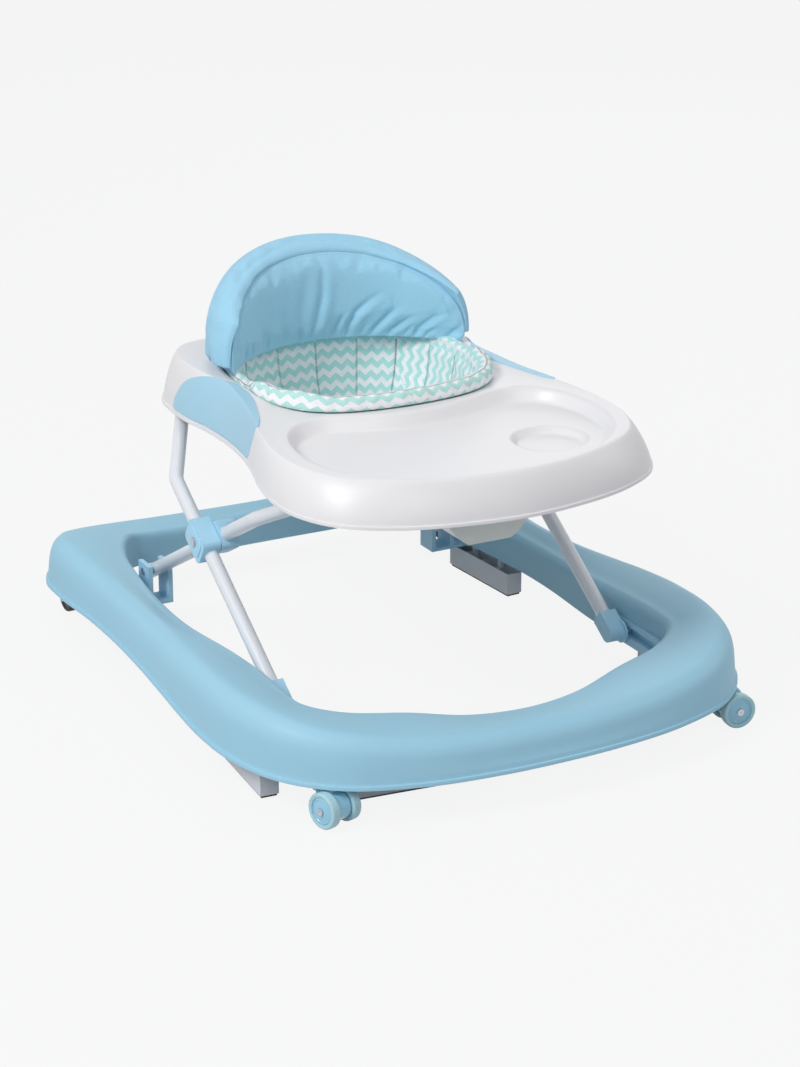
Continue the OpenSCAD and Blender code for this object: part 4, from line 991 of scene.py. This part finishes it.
def seat_rings(edge, edge_z, outward, arc):
    """Rings of points up the bowl's outside, over its border, lowest at the rear, and down its inside."""
    front = smoothstep((64 - edge[:, 1]) / 40)
    hump = np.exp(-(((edge[:, 0] + 106) / 16) ** 2 + ((edge[:, 1] + 20) / 26) ** 2))
    tall = 0.3 + 0.7 * front + 0.25 * hump
    ripple = 0.9 * np.sin(arc * 0.19) * np.sin(arc * 0.043 + 1) + 0.5 * np.sin(arc * 0.43 + 2)
    rings = []

    def ring(scale, off, z):
        xy = SEAT_MIDDLE + scale * (edge - SEAT_MIDDLE) + outward * np.asarray(off).reshape(-1, 1)
        rings.append(np.c_[xy, np.broadcast_to(z, (len(edge),))])

    for scale, up in OUTER_BOWL:
        ring(scale, -0.8, SEAT_FLOOR_Z + up)
    for down in (22, 8):
        ring(1, -1.2, edge_z - down)
    for off, up in BORDER:
        wavy = off + (ripple * 0.7 if up > 3 else 0)
        fold = np.where(off > 0, wavy * front - (1 - front), wavy)
        ring(1, fold, edge_z + up * tall + (ripple * 0.5 * front if up > 8 else 0))
    for scale, down in INNER_BOWL:
        ring(scale, BORDER[-1][0], TRAY_TOP - down)
    return np.stack(rings, 1)


def quilt_relief(from_seam, count):
    """How far the quilting stands off, by station and row: puffs between upright seams, a little crumpled."""
    f = np.linspace(0, 1, count)[None, :]
    fade = smoothstep(f / 0.12) * smoothstep((0.95 - f) / 0.3)
    puffs = 4.6 * np.abs(np.sin(math.pi * from_seam / SEAM_PITCH)) ** 0.4
    crumple = 0.7 * np.sin(from_seam * 0.21 + 5 * f) * np.sin(from_seam * 0.083 + 11 * f)
    return (puffs + crumple) * fade


def seat_cloth(points, arc, from_seam, first_inside):
    """Cloth coordinates of the seat's points: along its rings, across them, and to the nearest seam."""
    across = length_across(points)
    across -= across[:, first_inside:first_inside + 1]
    along = np.repeat(arc[:, None], points.shape[1], 1)
    inside = across > 4
    # distances to the quilting seams and, outside, to the border's fold line, along which the material paints
    # a line of shade
    to_seam = np.abs((from_seam / SEAM_PITCH + 0.5) % 1 - 0.5) * SEAM_PITCH
    to_seam = np.where(inside, to_seam, np.abs(across + BORDER_FOLD))
    turned = (inside & (np.abs(points[:, :, 0]) > SIDE_PANEL_X))[:, :, None]
    cloth = np.where(turned, np.stack([across, along, to_seam], 2), np.stack([along, across, to_seam], 2))
    return cloth.reshape(-1, 3)


def make_seat():
    """Quilted bowl with a padded border round its opening and two leg holes in its floor."""
    steps = 4
    s = tray_stations(20)
    edge = s[:, 2:4]
    tangent = unit(np.roll(edge, -1, 0) - np.roll(edge, 1, 0))
    outward = np.stack([tangent[:, 1], -tangent[:, 0]], 1)
    arc = arc_length(edge)
    from_seam = (arc - arc[len(s) // 2] + FIRST_SEAM)[:, None]
    points = seat_rings(edge, s[:, 5], outward, arc)
    first_inside = points.shape[1] - len(INNER_BOWL)
    quilt = quilt_relief(from_seam, len(INNER_BOWL))
    points[:, first_inside:, :2] -= outward[:, None, :] * quilt[:, :, None]
    dense = smooth_profile(points, steps)
    nu, nv = dense.shape[:2]
    faces = [tuple(quad) for quad in grid_faces(nu, nv, True, False)]
    faces += [tuple(k * nv for k in range(nu)), tuple(k * nv + nv - 1 for k in range(nu))[::-1]]
    piece = new_object("quilted_seat", dense, faces, "tray", "seat_fabric", 70)
    cut(piece, [cylinder_solid((side * LEG_HOLE_X, LEG_HOLE_Y), LEG_HOLE_R, LEG_HOLE_LOW, LEG_HOLE_HIGH)
                for side in (-1, 1)])
    cloth = seat_cloth(dense, arc, from_seam, first_inside * steps)
    tree = point_tree(dense.reshape(-1, 3) * MM)
    nearest = [tree.find(vertex.co)[1] for vertex in piece.data.vertices]
    set_attribute(piece, "cloth", cloth[nearest] * MM)
    piece.data.shade_smooth()
    piece.data.set_sharp_from_angle(angle=math.radians(70))
    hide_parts("seat")


# ---- building ----

dress_cad_nodes()
make_base_ring()
make_tray()
for inlay_side in (-1, 1):
    make_inlay(inlay_side)
make_leg_frames()
make_latch_spring()
make_backrest()
make_seat()

# ---- camera, floor and light ----

CAMERA_TURN, CAMERA_RISE = math.radians(-28.1), math.radians(20.5)
CAMERA_TARGET = Vector((-0.0056, -0.040, 0.1637))
CAMERA_DISTANCE = 2.790

camera = bpy.data.objects.new("camera", bpy.data.cameras.new("camera"))
scene.collection.objects.link(camera)
backward = Vector((math.sin(CAMERA_TURN) * math.cos(CAMERA_RISE),
                   -math.cos(CAMERA_TURN) * math.cos(CAMERA_RISE), math.sin(CAMERA_RISE)))
camera.location = CAMERA_TARGET + backward * CAMERA_DISTANCE
camera.rotation_mode = "QUATERNION"
camera.rotation_quaternion = (-backward).to_track_quat("-Z", "Y")
camera.data.sensor_width = 36
camera.data.lens = 91.5
camera.data.clip_end = 50
scene.camera = camera

BACKGROUND, AMBIENT = srgb(245, 245, 245), (0.33, 0.335, 0.345, 1)
PLAIN_SHARE = 0.9       # how much of the floor's look is plain, without shadow


def unlit_part(t):
    """1 for rays of the camera, mirrors and glass, which see things plain, and 0 for rays that light."""
    path = t.add("ShaderNodeLightPath")
    seen = t.math("MAXIMUM", path.outputs["Is Camera Ray"], path.outputs["Is Glossy Ray"])
    return t.math("MAXIMUM", seen, path.outputs["Is Transmission Ray"])


def make_floor():
    """A floor lit like grey card, and seen as pale grey with only a faint part of the object's shadow."""
    half = 6000
    corners = [(-half, -half, 0), (half, -half, 0), (half, half, 0), (-half, half, 0)]
    floor = mesh_object("floor", corners, [(0, 1, 2, 3)])
    material, t, principled = new_material("floor")
    principled.inputs["Base Color"].default_value = srgb(190, 192, 195)
    principled.inputs["Roughness"].default_value = 0.9
    plain = t.add("ShaderNodeEmission", inputs={"Color": srgb(253, 253, 253), "Strength": 1.0})
    part = t.times(unlit_part(t), PLAIN_SHARE)
    mixed = t.add("ShaderNodeMixShader", inputs={0: part, 1: principled.outputs[0], 2: plain.outputs[0]})
    output = next(node for node in material.node_tree.nodes if node.type == "OUTPUT_MATERIAL")
    t.put(output.inputs["Surface"], mixed.outputs[0])
    floor.data.materials.append(material)


def make_world():
    """Dim even light from all round, behind a backdrop seen as pale grey."""
    world = bpy.data.worlds.new("studio")
    world.use_nodes = True
    scene.world = world
    t = Tree(world.node_tree)
    background = next(node for node in world.node_tree.nodes if node.type == "BACKGROUND")
    t.put(background.inputs["Color"], t.mix(unlit_part(t), AMBIENT, BACKGROUND))


def area_light(name, place, aim, size, power):
    """A rectangular lamp at a place, turned to the point that it aims at."""
    light = bpy.data.lights.new(name, "AREA")
    light.shape = "RECTANGLE"
    light.size, light.size_y = size
    light.energy = power
    lamp = bpy.data.objects.new(name, light)
    scene.collection.objects.link(lamp)
    lamp.location = place
    lamp.rotation_mode = "QUATERNION"
    lamp.rotation_quaternion = (Vector(aim) - Vector(place)).to_track_quat("-Z", "Y")


make_floor()
make_world()
area_light("key", (-2.1, -0.5, 2.1), (0, 0, 0.2), (1.0, 1.0), 44)
area_light("overhead", (0.2, 0.2, 2.4), (0, 0, 0.1), (1.6, 1.4), 5)
area_light("front", (-0.5, -2.6, 1.9), (0, 0.05, 0.3), (1.4, 1.4), 13)
area_light("right", (2.6, -0.6, 1.3), (0, 0, 0.2), (1.2, 1.2), 9)
area_light("rear", (1.9, 2.1, 1.3), (0, 0, 0.1), (1.4, 1.4), 6)

scene.view_settings.view_transform = "Standard"
